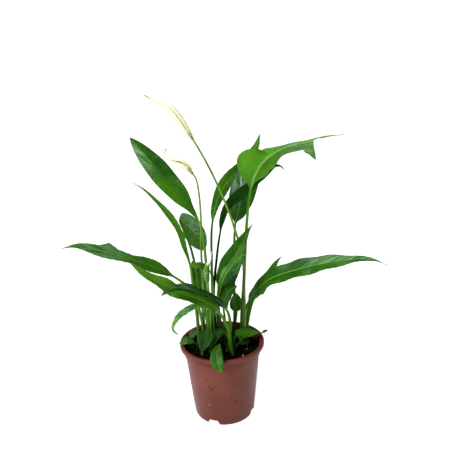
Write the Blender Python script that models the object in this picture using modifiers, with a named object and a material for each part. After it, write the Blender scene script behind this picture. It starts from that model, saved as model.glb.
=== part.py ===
"""A potted peace lily: a plastic nursery pot, the soil in it, the long-stalked leaves, the short
leaves round their foot, two blooms and a bud. Lengths below are in millimetres, and MM turns them
into Blender's metres. The origin is the middle of the pot's underside, and +Z is up."""

import math

import bpy
import numpy as np

MM = 0.001
TAU = 2 * math.pi

# Pot
POT_RADIUS = 60.0  # outside of the lip
POT_HEIGHT = 112.0
LIP_WIDTH = 4.6
LIP_HEIGHT = 6.0
COLLAR_RADIUS = 54.4
COLLAR_HEIGHT = 13.0
STEP = 1.8  # the wall lies this far inside the collar
FOOT_RADIUS = 43.0
FOOT_ROUND = 6.0  # rounding of the bottom edge
WALL = 1.3
CHANNEL_HEIGHT = 9.4  # the drain channel under the floor
STAND_RADIUS = 24.0  # the flat middle of the underside
NOTCHES = 4
NOTCH_HEIGHT = 8.2
NOTCH_TOP = 12.5
NOTCH_BOTTOM = 20.5
FIRST_NOTCH = math.radians(-113)  # from +X, turning to +Y
POT_STEPS = 36

# Soil
GAP = 0.3  # clearance between touching pieces
SOIL_TOP = 101.0
SOIL_LUMP = 1.6
SOIL_STEPS = 30

# Leaves
ROOT_DEPTH = 16.0  # how far a stalk reaches into the soil
STRAIGHT = 5.0  # the stalk's straight length above the soil
BLADE_EDGE = 0.8  # thickness at the margin
BLADE_MIDDLE = 1.0
HOLE_SIDES = 8
HOLE_CLEARANCE = 0.55

# Each leaf: the points along its midrib, from the soil to the tip; which point its blade starts at;
# the way its upper face looks, along the blade; half-width, where it is widest and how blunt it ends;
# fold (degrees up from flat) of both halves, or of the right one alone; wave height, count and phase;
# the stalk's radius at the soil and at the blade; lobes (place, spread, extra half-width, side); and
# its count of rings.
LEAVES = {
    "leaf_upper_left": dict(
        line=[(-17, 10, 101), (-17, 12, 170), (-18, 16, 231), (-24, 20, 281), (-73, 45, 345), (-116, 66, 396)],
        blade=3, face=[(0.3, -1, 0.3), (0.25, -1, 0.25), (0, -1, 0.35)],
        width=15.5, belly=0.54, blunt=0.85, fold=16, wave=(1.2, 3.2, 0), stalk=(2.6, 1.4),
        lobes=[(0.15, 0.1, -2.5, -1), (0.15, 0.1, -3, 1)]),
    "leaf_narrow_left": dict(
        line=[(-33, 8, 101), (-34, 10, 148), (-37, 4, 195), (-39, 0, 227), (-46, -6, 258), (-54, -15, 290),
              (-66, -23, 312), (-88, -35, 343), (-101, -40, 354)],
        blade=3, face=[(0.7, -0.7, 0.3), (0.5, -0.8, 0.4), (0.3, -0.8, 0.6)],
        width=4.6, belly=0.45, blunt=1.3, fold=20, wave=(0.6, 3, 1), stalk=(2.6, 1.6)),
    "leaf_far_left": dict(
        line=[(-24, -5, 101), (-27, -10, 150), (-38, -20, 197), (-57, -30, 222), (-95, -48, 250),
              (-136, -62, 271), (-171, -71, 285), (-188, -76, 285)],
        blade=3, face=[(0.2, -0.6, 0.8), (0.1, -0.4, 0.9), (0.1, -0.4, 0.9), (0, -0.5, 0.8)],
        width=11.5, belly=0.5, blunt=0.75, fold=10, wave=(1.2, 2.2, 1), stalk=(2.4, 1.5),
        lobes=[(0.2, 0.09, 3, 1), (0.42, 0.08, -2.5, 1), (0.62, 0.08, 4, 1)]),
    "leaf_round_back": dict(
        line=[(-26, 25, 101), (-26, 24, 152), (-30, 26, 191), (-39, 33, 243), (-48, 40, 267), (-53, 47, 277),
              (-49, 55, 273), (-38, 63, 259), (-29, 70, 243), (-20, 76, 223)],
        blade=5, face=[(0.3, -0.5, 0.5), (0.3, -0.8, 0.6), (0.5, -1, 0.3)],
        width=18, belly=0.42, blunt=0.6, fold=5, wave=(0.5, 2, 0), stalk=(2.2, 1.3)),
    "leaf_front_left": dict(
        line=[(15, -22, 101), (12, -26, 118), (9, -34, 145), (0, -45, 173), (-18, -57, 196), (-47, -72, 217),
              (-79, -84, 242), (-105, -92, 269)],
        blade=3, face=[(0.3, -0.7, 0.6), (0.1, -0.5, 0.8), (-0.1, -0.5, 0.8)],
        width=11, belly=0.42, blunt=0.9, fold=12, wave=(1.6, 3, 0), stalk=(2.7, 1.8),
        lobes=[(0.1, 0.13, -4.5, -1)]),
    "leaf_over_left": dict(
        line=[(7, -13, 101), (11, -16, 126), (12, -24, 153), (7, -36, 177), (-15, -58, 206), (-38, -76, 224),
              (-58, -92, 233), (-70, -102, 229)],
        blade=3, face=[(0.3, -0.5, 0.8), (0.1, -0.4, 0.9), (-0.1, -0.5, 0.8)],
        width=10, belly=0.45, blunt=0.8, fold=10, wave=(1, 3, 0), stalk=(2.4, 1.6),
        lobes=[(0.35, 0.12, -4, -1), (0.35, 0.12, -4, 1)]),
    "leaf_drooping_left": dict(
        line=[(-17, -13, 101), (-18, -19, 150), (-20, -26, 172), (-30, -34, 182), (-44, -46, 181),
              (-58, -58, 172), (-62, -62, 164), (-56, -62, 155)],
        blade=3, face=[(0.1, -0.6, 0.8), (-0.6, -0.5, 0.6), (-1, -0.4, -0.2)],
        width=5.8, belly=0.35, blunt=0.9, fold=25, wave=(0.5, 2, 0), stalk=(2.1, 1.2)),
    "leaf_tall_back": dict(
        line=[(-13, 22, 101), (-11, 30, 161), (-10, 40, 216), (-7, 52, 268), (4, 64, 306), (24, 78, 331),
              (46, 90, 349), (62, 100, 369), (69, 106, 389)],
        blade=3, face=[(-0.6, 0.9, 0.3), (-0.4, 1, 0.3), (-0.3, 1, 0.3)],
        width=11.5, belly=0.5, blunt=0.9, fold=8, wave=(1, 2.5, 0), stalk=(2.4, 1.4)),
    "leaf_dark_right": dict(
        line=[(-8, 12, 101), (-9, 12, 178), (-3, 11, 228), (3, 10, 265), (13, 10, 301), (34, 12, 320),
              (61, 13, 342), (82, 15, 359), (92, 16, 358), (93, 16, 351)],
        blade=3, face=[(-0.6, -0.7, 0.3), (-0.4, -0.6, 0.7), (-0.4, -0.6, 0.7)],
        width=9.5, belly=0.52, blunt=1.3, fold=15, wave=(1, 3, 0), stalk=(2.2, 1.3)),
    "leaf_glossy_back": dict(
        line=[(17, 26, 101), (20, 30, 131), (21, 36, 188), (23, 42, 232), (26, 48, 268), (36, 58, 306), (54, 78, 350),
              (61, 85, 362)],
        blade=4, face=[(0.1, -1, 0.3), (0.1, -1, 0.3), (0, -1, 0.3)],
        width=19, belly=0.5, blunt=0.8, fold=12, wave=(1, 3, 0), stalk=(2.4, 1.4)),
    "leaf_crested_right": dict(
        line=[(29, 20, 101), (30, 18, 139), (34, 12, 191), (38, 4, 259), (42, -3, 306), (45, -9, 330), (51, -15, 351),
              (61, -18, 368), (79, -11, 380), (102, 2, 386), (125, 18, 387), (150, 32, 391),
              (179, 42, 391)],
        blade=5, face=[(-0.25, 1, 0.1), (-0.2, 1, 0.1), (-0.2, 1, 0), (-0.3, 1, 0), (0, 1, 0)],
        width=24, belly=0.27, blunt=2.5, fold=5,
        fold_right=(5, 5, 5, 14, 80, 88, 90, 90, 85, 80, 70, 60, 60), rings=(4, 26),
        wave=(1.2, 3, 0), stalk=(2.6, 1.5),
        lobes=[(0.08, 0.08, -8, -1), (0.22, 0.06, -6, -1), (0.4, 0.16, -11, -1), (0.645, 0.022, 6, -1),
               (0.686, 0.026, 19, -1), (0.74, 0.04, -7, -1),
               (0.19, 0.06, 8, 1), (0.28, 0.04, -9, 1)]),
    "leaf_middle": dict(
        line=[(1, 14, 101), (-3, 13, 160), (-2, 5, 188), (10, -4, 220), (25, -12, 248), (37, -18, 271),
              (47, -22, 290)],
        blade=2, face=[(-0.5, -0.9, 0.3), (-0.3, -1, 0.3), (-0.1, -1, 0.4)],
        width=12.5, belly=0.42, blunt=1.1, fold=8, wave=(1, 3, 0), stalk=(2.2, 1.5),
        lobes=[(0.75, 0.25, -4, 1)]),
    "leaf_middle_front": dict(
        line=[(-2, 1, 101), (-5, -6, 159), (-2, -13, 186), (3, -22, 211), (13, -32, 232), (25, -40, 249),
              (37, -45, 258)],
        blade=2, face=[(-0.6, -0.3, 0.9), (-0.5, -0.2, 0.9), (-0.3, -0.2, 1)],
        width=9, belly=0.45, blunt=0.9, fold=25, wave=(0.8, 3, 0), stalk=(2.1, 1.4)),
    "leaf_far_right": dict(
        line=[(34, 27, 101), (38, 22, 131), (43, 16, 157), (48, 12, 171), (65, 0, 199), (108, -20, 223),
              (159, -38, 239), (197, -50, 243), (216, -55, 236)],
        blade=3, face=[(-0.6, -0.5, 0.5), (-0.2, -0.7, 0.7), (0.1, -0.8, 0.7), (0.1, -0.8, 0.7)],
        width=12, belly=0.4, blunt=1.5, fold=15, wave=(1.4, 5, 0), stalk=(3.5, 3.0),
        lobes=[(0.08, 0.08, 2, -1), (0.1, 0.07, 7, 1), (0.6, 0.15, 1, 1)]),
    "leaf_right_back": dict(
        line=[(27, 35, 101), (34, 41, 126), (41, 48, 145), (59, 60, 162), (77, 72, 180), (88, 80, 196),
              (96, 83, 203), (101, 84, 202)],
        blade=2, face=[(-0.5, -0.8, 0.5), (-0.3, -0.9, 0.5), (-0.1, -0.8, 0.6)],
        width=9, belly=0.38, blunt=1.5, fold=12, wave=(0.8, 3, 0), stalk=(2.4, 1.6)),
    "leaf_low_right": dict(
        line=[(18, 40, 101), (22, 46, 120), (24, 49, 131), (23, 52, 144), (24, 56, 159)],
        blade=2, face=[(0.2, -1, 0.3), (0.2, -1, 0.3)],
        width=8, belly=0.5, blunt=0.8, fold=15, wave=(0.5, 2, 0), stalk=(1.8, 1.3)),
    "leaf_low_middle": dict(
        line=[(5, -3, 101), (5, -8, 151), (4, -13, 168), (7, -21, 186), (14, -27, 200), (23, -31, 207)],
        blade=2, face=[(-0.5, -0.7, 0.6), (-0.4, -0.7, 0.7), (-0.2, -0.7, 0.7)],
        width=9.5, belly=0.5, blunt=0.8, fold=12, wave=(0.5, 2, 0), stalk=(1.9, 1.3)),
    "leaf_behind_stems": dict(
        line=[(-20, 31, 101), (-22, 38, 131), (-26, 46, 156), (-32, 56, 184), (-39, 62, 211)],
        blade=2, face=[(0.2, -1, 0.3), (0.2, -1, 0.3)],
        width=10, belly=0.45, blunt=0.7, fold=10, wave=(0.5, 2, 0), stalk=(2.0, 1.4)),
    "leaf_young_left": dict(
        line=[(-10, 1, 101), (-10, -2, 164), (-9, -4, 198), (-13, -7, 221), (-23, -10, 229), (-38, -12, 232)],
        blade=3, face=[(-0.2, -0.8, 0.6), (-0.1, -0.8, 0.6)],
        width=5, belly=0.55, blunt=0.6, fold=20, wave=(0.3, 2, 0), stalk=(1.6, 1.0)),
}

# The short leaves round the foot of the plant, in the same terms.
FOOT_LEAVES = {
    "foot_leaf_left": dict(
        line=[(-36, -8, 101), (-36, -9, 110), (-39, -12, 117), (-48, -15, 121), (-60, -18, 119)],
        blade=2, face=[(0, -0.5, 1), (0, -0.6, 0.9)],
        width=6, belly=0.45, blunt=1.0, fold=12, wave=(0.3, 2, 0), stalk=(1.3, 1.0)),
    "foot_leaf_left_up": dict(
        line=[(-33, -1, 101), (-32, -2, 118), (-32, -2, 127), (-38, -4, 127), (-47, -7, 121)],
        blade=2, face=[(-0.1, -0.9, 0.5), (-0.3, -0.9, 0.4)],
        width=4.6, belly=0.5, blunt=0.7, fold=8, wave=(0.3, 2, 0), stalk=(1.4, 1.0)),
    "foot_leaf_centre_left": dict(
        line=[(-28, -18, 101), (-25, -18, 122), (-22, -21, 138), (-20, -26, 142), (-22, -30, 134),
              (-26, -33, 122), (-30, -35, 111)],
        blade=3, face=[(0, -0.5, 1), (0.1, -1, 0.3), (0.1, -1, 0.1)],
        width=10.5, belly=0.22, blunt=1.0, fold=18, wave=(0.3, 2, 0), stalk=(1.6, 1.2)),
    "foot_leaf_centre": dict(
        line=[(11, -17, 101), (9, -20, 120), (6, -22, 132), (1, -24, 137), (-7, -26, 135), (-14, -28, 125),
              (-18, -31, 113)],
        blade=2, face=[(0, -0.6, 0.8), (0, -0.9, 0.5), (0.1, -1, 0.2)],
        width=6.5, belly=0.5, blunt=0.9, fold=10, wave=(0.3, 2, 0), stalk=(1.6, 1.2)),
    "foot_leaf_front": dict(
        line=[(-3, -28, 101), (-3, -30, 117), (-4, -37, 125), (-6, -47, 125), (-8, -56, 121), (-8, -62, 116),
              (-6, -67, 110), (-2, -70, 102)],
        blade=2, face=[(0, -0.6, 0.8), (0, -1, 0.5), (0, -1, 0)],
        width=8.5, belly=0.6, blunt=0.9, fold=10, wave=(0.3, 2, 0), stalk=(1.7, 1.2)),
    "foot_leaf_right": dict(
        line=[(20, -8, 101), (17, -9, 114), (19, -8, 121), (25, -6, 123), (34, -5, 124), (43, -4, 123),
              (52, -3, 123)],
        blade=2, face=[(0, -0.6, 0.8), (0, -0.6, 0.9)],
        width=7.5, belly=0.38, blunt=0.6, fold=6, wave=(0.5, 2, 0), stalk=(1.6, 1.2),
        lobes=[(0.13, 0.09, 4, 1), (0.8, 0.1, -1.5, 1)]),
    "foot_leaf_right_low": dict(
        line=[(21, -1, 101), (24, -2, 106), (31, -2, 109), (40, -3, 108)],
        blade=1, face=[(0, -0.6, 0.8), (0, -0.6, 0.9)],
        width=5.5, belly=0.5, blunt=1.0, fold=8, wave=(0.3, 2, 0), stalk=(1.4, 1.0)),
    "foot_leaf_rim_right": dict(
        line=[(45, 13, 101), (47, 12, 107), (52, 10, 113), (58, 8, 116), (63, 7, 119), (67, 6, 120)],
        blade=3, face=[(0, -0.6, 0.8), (0, -0.6, 0.9)],
        width=2.2, belly=0.5, blunt=1.2, fold=20, wave=(0.1, 2, 0), stalk=(1.2, 0.9)),
}
LEAF_RINGS = (4, 11)  # rings along the stalk and along the blade
FOOT_RINGS = (2, 7)

# Blooms: one line through stem, spathe and its tail; which point the head starts at; the stem's
# radii; the way the spathe opens; its girth, shape and the angle of its gap; the spadix's size.
STEM_SIDES = 8
SPATHE_POINTS = 8  # round each face of the rolled spathe
SPADIX_ROWS = 16
SPADIX_SIDES = 12
FLORET_RELIEF = 0.1
BLOOMS = {
    "flower_1": dict(
        line=[(33, 9, 101), (34, 4, 170), (33, 0, 232), (24, -1, 275), (10, -2, 320), (-10, -1, 368),
              (-28, 0, 402), (-36, 0, 415), (-44, 0, 427), (-53, 0, 439), (-68, 0, 447), (-84, 0, 456)],
        head=6, radius=(1.9, 1.2), opening=(0.35, -0.8, -0.3), girth=5.2, belly=0.34, blunt=1.6,
        gap=(70, 100, 30, 16), spadix=(22, 3.2)),
    "flower_2": dict(
        line=[(-25, 17, 101), (-25, 14, 133), (-23, 6, 186), (-23, 0, 243), (-21, -3, 292), (-22, -4, 331),
              (-25, -4, 349), (-31, -4, 358), (-38, -4, 366), (-46, -4, 371), (-56, -4, 374), (-64, -4, 380),
              (-60, -4, 389)],
        head=7, radius=(1.8, 1.1), opening=(0.2, -1, 0.2), girth=4.3, belly=0.25, blunt=3.2,
        gap=(80, 120, 60, 20), spadix=(15, 2.6)),
}
BUD = dict(
    line=[(-15, -5, 101), (-15, -10, 140), (-14, -15, 175), (-16, -18, 208), (-17, -18, 218), (-16, -18, 230),
          (-11, -18, 241), (-9, -18, 253)],
    head=3, radius=(1.6, 1.2), girth=4.2)


def clear_scene():
    for thing in list(bpy.data.objects):
        bpy.data.objects.remove(thing)


def new_collection(name, hidden=False):
    collection = bpy.data.collections.new(name)
    bpy.context.scene.collection.children.link(collection)
    collection.hide_render = hidden
    return collection


def material(name, colour, roughness):
    made = bpy.data.materials.new(name)
    made.use_nodes = True
    shader = made.node_tree.nodes["Principled BSDF"]
    shader.inputs["Base Color"].default_value = (*colour, 1)
    shader.inputs["Roughness"].default_value = roughness
    shader.inputs["Metallic"].default_value = 0.0
    return made


def add_mesh(name, points, faces, collection, finish):
    """A mesh object from points in millimetres."""
    mesh = bpy.data.meshes.new(name)
    mesh.from_pydata((np.asarray(points, float) * MM).tolist(), [], faces)
    mesh.materials.append(finish)
    mesh.shade_smooth()
    mesh.set_sharp_from_angle(angle=math.radians(50))
    thing = bpy.data.objects.new(name, mesh)
    collection.objects.link(thing)
    return thing


def ease(x):
    x = np.clip(x, 0, 1)
    return x * x * (3 - 2 * x)


def along(values, t):
    """Evenly spaced values, eased from one to the next; t runs from 0 to 1."""
    values = np.asarray(values, float)
    if values.ndim == 0:
        return np.full(len(t), float(values))
    place = np.clip(t, 0, 1) * (len(values) - 1)
    low = np.minimum(place.astype(int), len(values) - 2)
    mix = ease(place - low)
    if values.ndim == 2:
        mix = mix[:, None]
    return values[low] * (1 - mix) + values[low + 1] * mix


def unit(vectors):
    return vectors / np.linalg.norm(vectors, axis=-1, keepdims=True)


class Line:
    """A smooth curve through points, read by its length."""

    def __init__(self, points, steps=400):
        p = np.asarray(points, float)
        knots = np.r_[0, np.cumsum(np.sqrt(np.linalg.norm(np.diff(p, axis=0), axis=1)))]
        slope = np.diff(p, axis=0) / np.diff(knots)[:, None]
        span = np.diff(knots)[:, None]
        inner = (slope[:-1] * span[1:] + slope[1:] * span[:-1]) / (span[:-1] + span[1:])
        tangents = np.vstack([slope[:1], inner, slope[-1:]])
        u = np.linspace(0, knots[-1], steps)
        k = np.clip(np.searchsorted(knots, u, side="right") - 1, 0, len(p) - 2)
        h = (knots[k + 1] - knots[k])[:, None]
        s = (u - knots[k])[:, None] / h
        self.points = ((2 * s**3 - 3 * s**2 + 1) * p[k] + (s**3 - 2 * s**2 + s) * h * tangents[k]
                       + (3 * s**2 - 2 * s**3) * p[k + 1] + (s**3 - s**2) * h * tangents[k + 1])
        self.lengths = np.r_[0, np.cumsum(np.linalg.norm(np.diff(self.points, axis=0), axis=1))]
        self.marks = np.interp(knots, u, self.lengths)
        self.length = self.lengths[-1]

    def at(self, s):
        """Points at the lengths s; below 0 the line runs on straight."""
        inside = np.clip(s, 0, self.length)
        found = np.stack([np.interp(inside, self.lengths, self.points[:, i]) for i in range(3)], 1)
        start = unit(self.points[4] - self.points[0])
        return found + np.minimum(s, 0)[:, None] * start

    def tangent(self, s, reach=1.5):
        return unit(self.at(np.minimum(s + reach, self.length)) - self.at(s - reach))


def loft(rings, tip=None, start=None):
    """Closed body over rings of equal counts, each quad split the same way. A tip or a start is one
    point that closes its end, and an end without one is closed by a face."""
    count = len(rings[0])
    points = [tuple(point) for ring in rings for point in ring]
    faces = []
    for i in range(len(rings) - 1):
        for k in range(count):
            a = i * count + k
            b = i * count + (k + 1) % count
            c = b + count
            d = a + count
            upper = k < count // 2
            faces += [(a, b, c), (a, c, d)] if upper else [(a, b, d), (b, c, d)]
    last = (len(rings) - 1) * count
    if start is None:
        faces.append(tuple(range(count - 1, -1, -1)))
    else:
        points.append(tuple(start))
        faces += [((k + 1) % count, k, len(points) - 1) for k in range(count)]
    if tip is None:
        faces.append(tuple(range(last, last + count)))
    else:
        points.append(tuple(tip))
        faces += [(last + k, last + (k + 1) % count, len(points) - 1) for k in range(count)]
    return points, faces


def blade_outline(t, belly, blunt):
    """1 where the blade is widest, at belly, and 0 at both ends."""
    rise = blunt * belly / (1 - belly)
    t = np.clip(t, 0, 1)
    return t**rise * (1 - t) ** blunt / (belly**rise * (1 - belly) ** blunt)


def leaf_body(leaf, rings):
    """Stalk and blade as one loft: rings of ten points, round on the stalk, flat and folded on the
    blade. Five points lie on the upper face, from the left margin to the right, and five below."""
    line = Line(leaf["line"])
    base = line.marks[leaf["blade"]]
    stalk_rings, blade_rings = leaf.get("rings", rings)
    under = np.array([-ROOT_DEPTH, 0.0, STRAIGHT])
    stalk = np.linspace(STRAIGHT, base, stalk_rings, endpoint=False)[1:]
    spread = np.linspace(0, 1, blade_rings, endpoint=False)
    spread = 0.6 * spread + 0.4 * ease(spread)
    s = np.r_[under[under < base - 2], stalk, base + spread * (line.length - base)]
    t = (s - base) / (line.length - base)
    middle = line.at(s)
    forward = line.tangent(s)
    face = along(leaf["face"], t)
    up = unit(face - (face * forward).sum(1, keepdims=True) * forward)
    side = np.cross(forward, up)

    thick, thin = leaf["stalk"]
    radius = thin + (thick - thin) * np.clip(1 - s / base, 0, 1) ** 1.5
    turn = math.pi - (np.arange(10) + 0.5) * TAU / 10
    round_side = radius[:, None] * np.cos(turn)
    round_up = radius[:, None] * np.sin(turn)

    across = np.array([-1, -0.5, 0, 0.5, 1])
    reach = np.abs(across)
    sign = np.sign(across)
    half = leaf["width"] * blade_outline(t, leaf["belly"], leaf["blunt"])
    half = half + thin * 0.8 * np.clip(1 - t, 0, 1) ** 2
    half = np.stack([half, half, half, half, half], 1)
    for centre, spread_of, extra, which in leaf.get("lobes", ()):
        bump = extra * np.exp(-((t - centre) / spread_of) ** 2)
        half[:, sign == which] += bump[:, None]
    half = np.maximum(half, 0.5)
    fold = np.where(across < 0, np.radians(along(leaf["fold"], t))[:, None],
                    np.radians(along(leaf.get("fold_right", leaf["fold"]), t))[:, None])
    height, count, phase = leaf["wave"]
    swell = height * reach**2 * np.sin(math.pi * np.clip(t, 0, 1))[:, None] ** 0.7
    swell = swell * np.sin(TAU * count * t[:, None] + phase + 1.7 * (across > 0))
    flat_side = sign * half * reach * np.cos(fold)
    flat_up = half * reach * np.sin(fold) + swell
    lean = fold * sign
    middle_weight = 1 - reach
    above = BLADE_EDGE / 2 + (BLADE_MIDDLE - BLADE_EDGE) / 2 * middle_weight
    rib = (thin * 1.2 * np.clip(1 - t, 0, 1) ** 0.8)[:, None] * (across == 0)
    top_side = flat_side - above * np.sin(lean)
    top_up = flat_up + above * np.cos(lean)
    low_side = flat_side + (above + rib) * np.sin(lean)
    low_up = flat_up - (above + rib) * np.cos(lean)
    blade_side = np.hstack([top_side, low_side[:, ::-1]])
    blade_up = np.hstack([top_up, low_up[:, ::-1]])

    mix = ease(t / 0.12)[:, None]
    out = round_side * (1 - mix) + blade_side * mix
    lift = round_up * (1 - mix) + blade_up * mix
    body = middle[:, None, :] + out[:, :, None] * side[:, None, :] + lift[:, :, None] * up[:, None, :]
    return loft(body, tip=line.at(np.array([line.length]))[0], start=middle[0] - 0.3 * forward[0])


def round_object(name, profile, steps, collection, finish):
    """Profile of (radius, height) in millimetres, from the axis up the inside and down the outside."""
    mesh = bpy.data.meshes.new(name)
    points = [(r * MM, 0, z * MM) for r, z in profile]
    mesh.from_pydata(points, [(i, i + 1) for i in range(len(points) - 1)], [])
    mesh.materials.append(finish)
    thing = bpy.data.objects.new(name, mesh)
    collection.objects.link(thing)
    turn = thing.modifiers.new("Turn", "SCREW")
    turn.axis = "Z"
    turn.angle = TAU
    turn.steps = steps
    turn.render_steps = steps
    turn.use_merge_vertices = True
    turn.merge_threshold = 1e-5
    turn.use_smooth_shade = True
    return thing


def pot_wall(z):
    """Outer radius of the tapering wall at height z."""
    top = POT_HEIGHT - LIP_HEIGHT - COLLAR_HEIGHT
    return FOOT_RADIUS + (COLLAR_RADIUS - STEP - FOOT_RADIUS) * z / top


def pot_profile():
    collar_foot = POT_HEIGHT - LIP_HEIGHT - COLLAR_HEIGHT
    lip_foot = POT_HEIGHT - LIP_HEIGHT
    inner = POT_RADIUS - LIP_WIDTH
    floor = CHANNEL_HEIGHT + WALL
    channel = STAND_RADIUS + 2
    foot = pot_wall(FOOT_ROUND) - FOOT_ROUND
    rounding = [(foot + FOOT_ROUND * math.cos(math.radians(a)), FOOT_ROUND * (1 - math.sin(math.radians(a))))
                for a in (0, 35, 65, 90)]
    return [
        (0, WALL), (STAND_RADIUS - 1, WALL), (channel - 1, floor), (pot_wall(floor) - WALL, floor),
        (pot_wall(collar_foot) - WALL, collar_foot), (COLLAR_RADIUS - WALL - 0.4, collar_foot + 1.5),
        (COLLAR_RADIUS - WALL, lip_foot), (inner, POT_HEIGHT - 1.5), (inner + 1.2, POT_HEIGHT),
        (POT_RADIUS - 1.2, POT_HEIGHT), (POT_RADIUS, POT_HEIGHT - 1.4), (POT_RADIUS - 0.2, lip_foot + 1),
        (POT_RADIUS - 1.4, lip_foot), (COLLAR_RADIUS + 0.2, lip_foot - 0.8),
        (COLLAR_RADIUS - 0.5, collar_foot + 1), (pot_wall(collar_foot), collar_foot - 0.6),
        *rounding,
        (foot - WALL, 0), (pot_wall(CHANNEL_HEIGHT) - WALL - 1.2, CHANNEL_HEIGHT * 0.7),
        (pot_wall(CHANNEL_HEIGHT) - WALL - 1.6, CHANNEL_HEIGHT),
        (channel, CHANNEL_HEIGHT), (STAND_RADIUS, 0), (0, 0),
    ]


def cutter_of(name, points, faces, cutters):
    mesh = bpy.data.meshes.new(name)
    mesh.from_pydata((np.asarray(points, float) * MM).tolist(), [], faces)
    thing = bpy.data.objects.new(name, mesh)
    cutters.objects.link(thing)
    thing.hide_render = True
    thing.display_type = "WIRE"
    return thing


def cut(thing, cutter):
    step = thing.modifiers.new("Cut " + cutter.name, "BOOLEAN")
    step.operation = "DIFFERENCE"
    step.solver = "EXACT"
    step.object = cutter


def make_pot(parts, cutters):
    finish = material("Terracotta_Plastic", (0.19, 0.065, 0.042), 0.45)
    pot = round_object("pot", pot_profile(), POT_STEPS, parts, finish)
    inside = STAND_RADIUS + 10
    outside = FOOT_RADIUS + 5
    low = NOTCH_BOTTOM / 2
    high = NOTCH_TOP / 2
    corners = ((-low, -1), (low, -1), (high, NOTCH_HEIGHT), (-high, NOTCH_HEIGHT))
    for number in range(NOTCHES):
        angle = FIRST_NOTCH + number * TAU / NOTCHES
        points = []
        for r in (inside, outside):
            for y, z in corners:
                x_turned = r * math.cos(angle) - y * math.sin(angle)
                y_turned = r * math.sin(angle) + y * math.cos(angle)
                points.append((x_turned, y_turned, z))
        faces = [(3, 2, 1, 0), (4, 5, 6, 7), (0, 1, 5, 4), (1, 2, 6, 5), (2, 3, 7, 6), (3, 0, 4, 7)]
        cut(pot, cutter_of(f"notch_{number + 1}", points, faces, cutters))
    return pot


def soil_height(x, y):
    """Lumps of the soil's surface, as three crossing waves."""
    lumps = np.sin(x * 0.21 + 1) * np.cos(y * 0.19)
    lumps = lumps + 0.6 * np.sin(x * 0.11 - y * 0.31 + 2)
    lumps = lumps + 0.5 * np.cos(x * 0.37 + y * 0.27)
    return SOIL_TOP + SOIL_LUMP * 0.5 * lumps


def soil_body():
    """A plug that fills the pot: rings up its side and in over its lumpy top."""
    floor = CHANNEL_HEIGHT + WALL + GAP
    collar_foot = POT_HEIGHT - LIP_HEIGHT - COLLAR_HEIGHT
    edge = COLLAR_RADIUS - WALL - 0.7 - GAP
    side = [(STAND_RADIUS - 1 - GAP, WALL + GAP), (STAND_RADIUS + 1 - GAP, floor),
            (pot_wall(floor) - WALL - GAP, floor), (pot_wall(collar_foot) - WALL - GAP, collar_foot)]
    rows = [(r, z, False) for r, z in side]
    rows += [(r, SOIL_TOP, True) for r in (edge, 45, 36, 27, 18, 9)]
    turn = np.arange(SOIL_STEPS) * TAU / SOIL_STEPS
    rings = []
    for r, z, lumpy in rows:
        x = r * np.cos(turn)
        y = r * np.sin(turn)
        height = soil_height(x, y) if lumpy else np.full(SOIL_STEPS, z)
        rings.append(np.stack([x, y, height], 1))
    return loft(rings, tip=(0, 0, float(soil_height(0, 0))), start=(0, 0, WALL + GAP))


def make_soil(parts, cutters, roots):
    """The soil, with a plain round hole for each stem."""
    finish = material("Potting_Soil", (0.012, 0.009, 0.007), 0.95)
    points, faces = soil_body()
    soil = add_mesh("soil", points, faces, parts, finish)
    for name, start, direction, radius in roots:
        side = unit(np.cross(direction, (0.0, 1.0, 0.0)))
        other = np.cross(direction, side)
        turn = np.arange(HOLE_SIDES) * TAU / HOLE_SIDES
        wide = (radius + HOLE_CLEARANCE) / math.cos(math.pi / HOLE_SIDES)
        circle = wide * (np.cos(turn)[:, None] * side + np.sin(turn)[:, None] * other)
        ends = [start - direction * (ROOT_DEPTH + 1), start + direction * 9]
        body = loft([end + circle for end in ends])
        cut(soil, cutter_of("hole_" + name, *body, cutters))
    return soil


def make_leaves(parts):
    """Every leaf; returns where and how each stalk enters the soil."""
    finish = material("Lily_Leaf", (0.03, 0.13, 0.02), 0.35)
    roots = []
    for table, rings in ((LEAVES, LEAF_RINGS), (FOOT_LEAVES, FOOT_RINGS)):
        for name, leaf in table.items():
            points, faces = leaf_body(leaf, rings)
            add_mesh(name, points, faces, parts, finish)
            line = Line(leaf["line"])
            start = line.at(np.array([-1.0, 0.0]))
            roots.append((name, start[1], start[1] - start[0], leaf["stalk"][0]))
    return roots


def make_stem(name, bloom, parts, finish):
    """A tapering stem up to the head, as a bevelled curve; returns how it enters the soil."""
    line = Line(bloom["line"])
    end = line.marks[bloom["head"]]
    s = np.r_[-ROOT_DEPTH, 0, np.linspace(STRAIGHT, end - 12, max(3, int(end / 22))), end - 8, end - 4, end]
    places = line.at(s)
    thick, thin = bloom["radius"]
    curve = bpy.data.curves.new(name, "CURVE")
    curve.dimensions = "3D"
    curve.bevel_depth = MM
    curve.bevel_resolution = 2
    curve.use_fill_caps = True
    spline = curve.splines.new("POLY")
    spline.points.add(len(s) - 1)
    for point, place, length in zip(spline.points, places, s):
        point.co = (*(place * MM), 1)
        point.radius = thick + (thin - thick) * min(1, max(0, length / end))
    curve.materials.append(finish)
    parts.objects.link(bpy.data.objects.new(name, curve))
    start = line.at(np.array([-1.0, 0.0]))
    return name, start[1], start[1] - start[0], thick


def circles(line, s, radii, sides):
    """Rings square to the line at the lengths s; radii holds one row for each ring."""
    forward = line.tangent(s)
    side = unit(np.cross(forward, (0.3, 1.0, 0.2)))
    other = np.cross(forward, side)
    turn = np.arange(sides) * TAU / sides
    wide = radii * np.ones((len(s), sides))
    return (line.at(s)[:, None, :] + (wide * np.cos(turn))[:, :, None] * side[:, None, :]
            + (wide * np.sin(turn))[:, :, None] * other[:, None, :])


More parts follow.
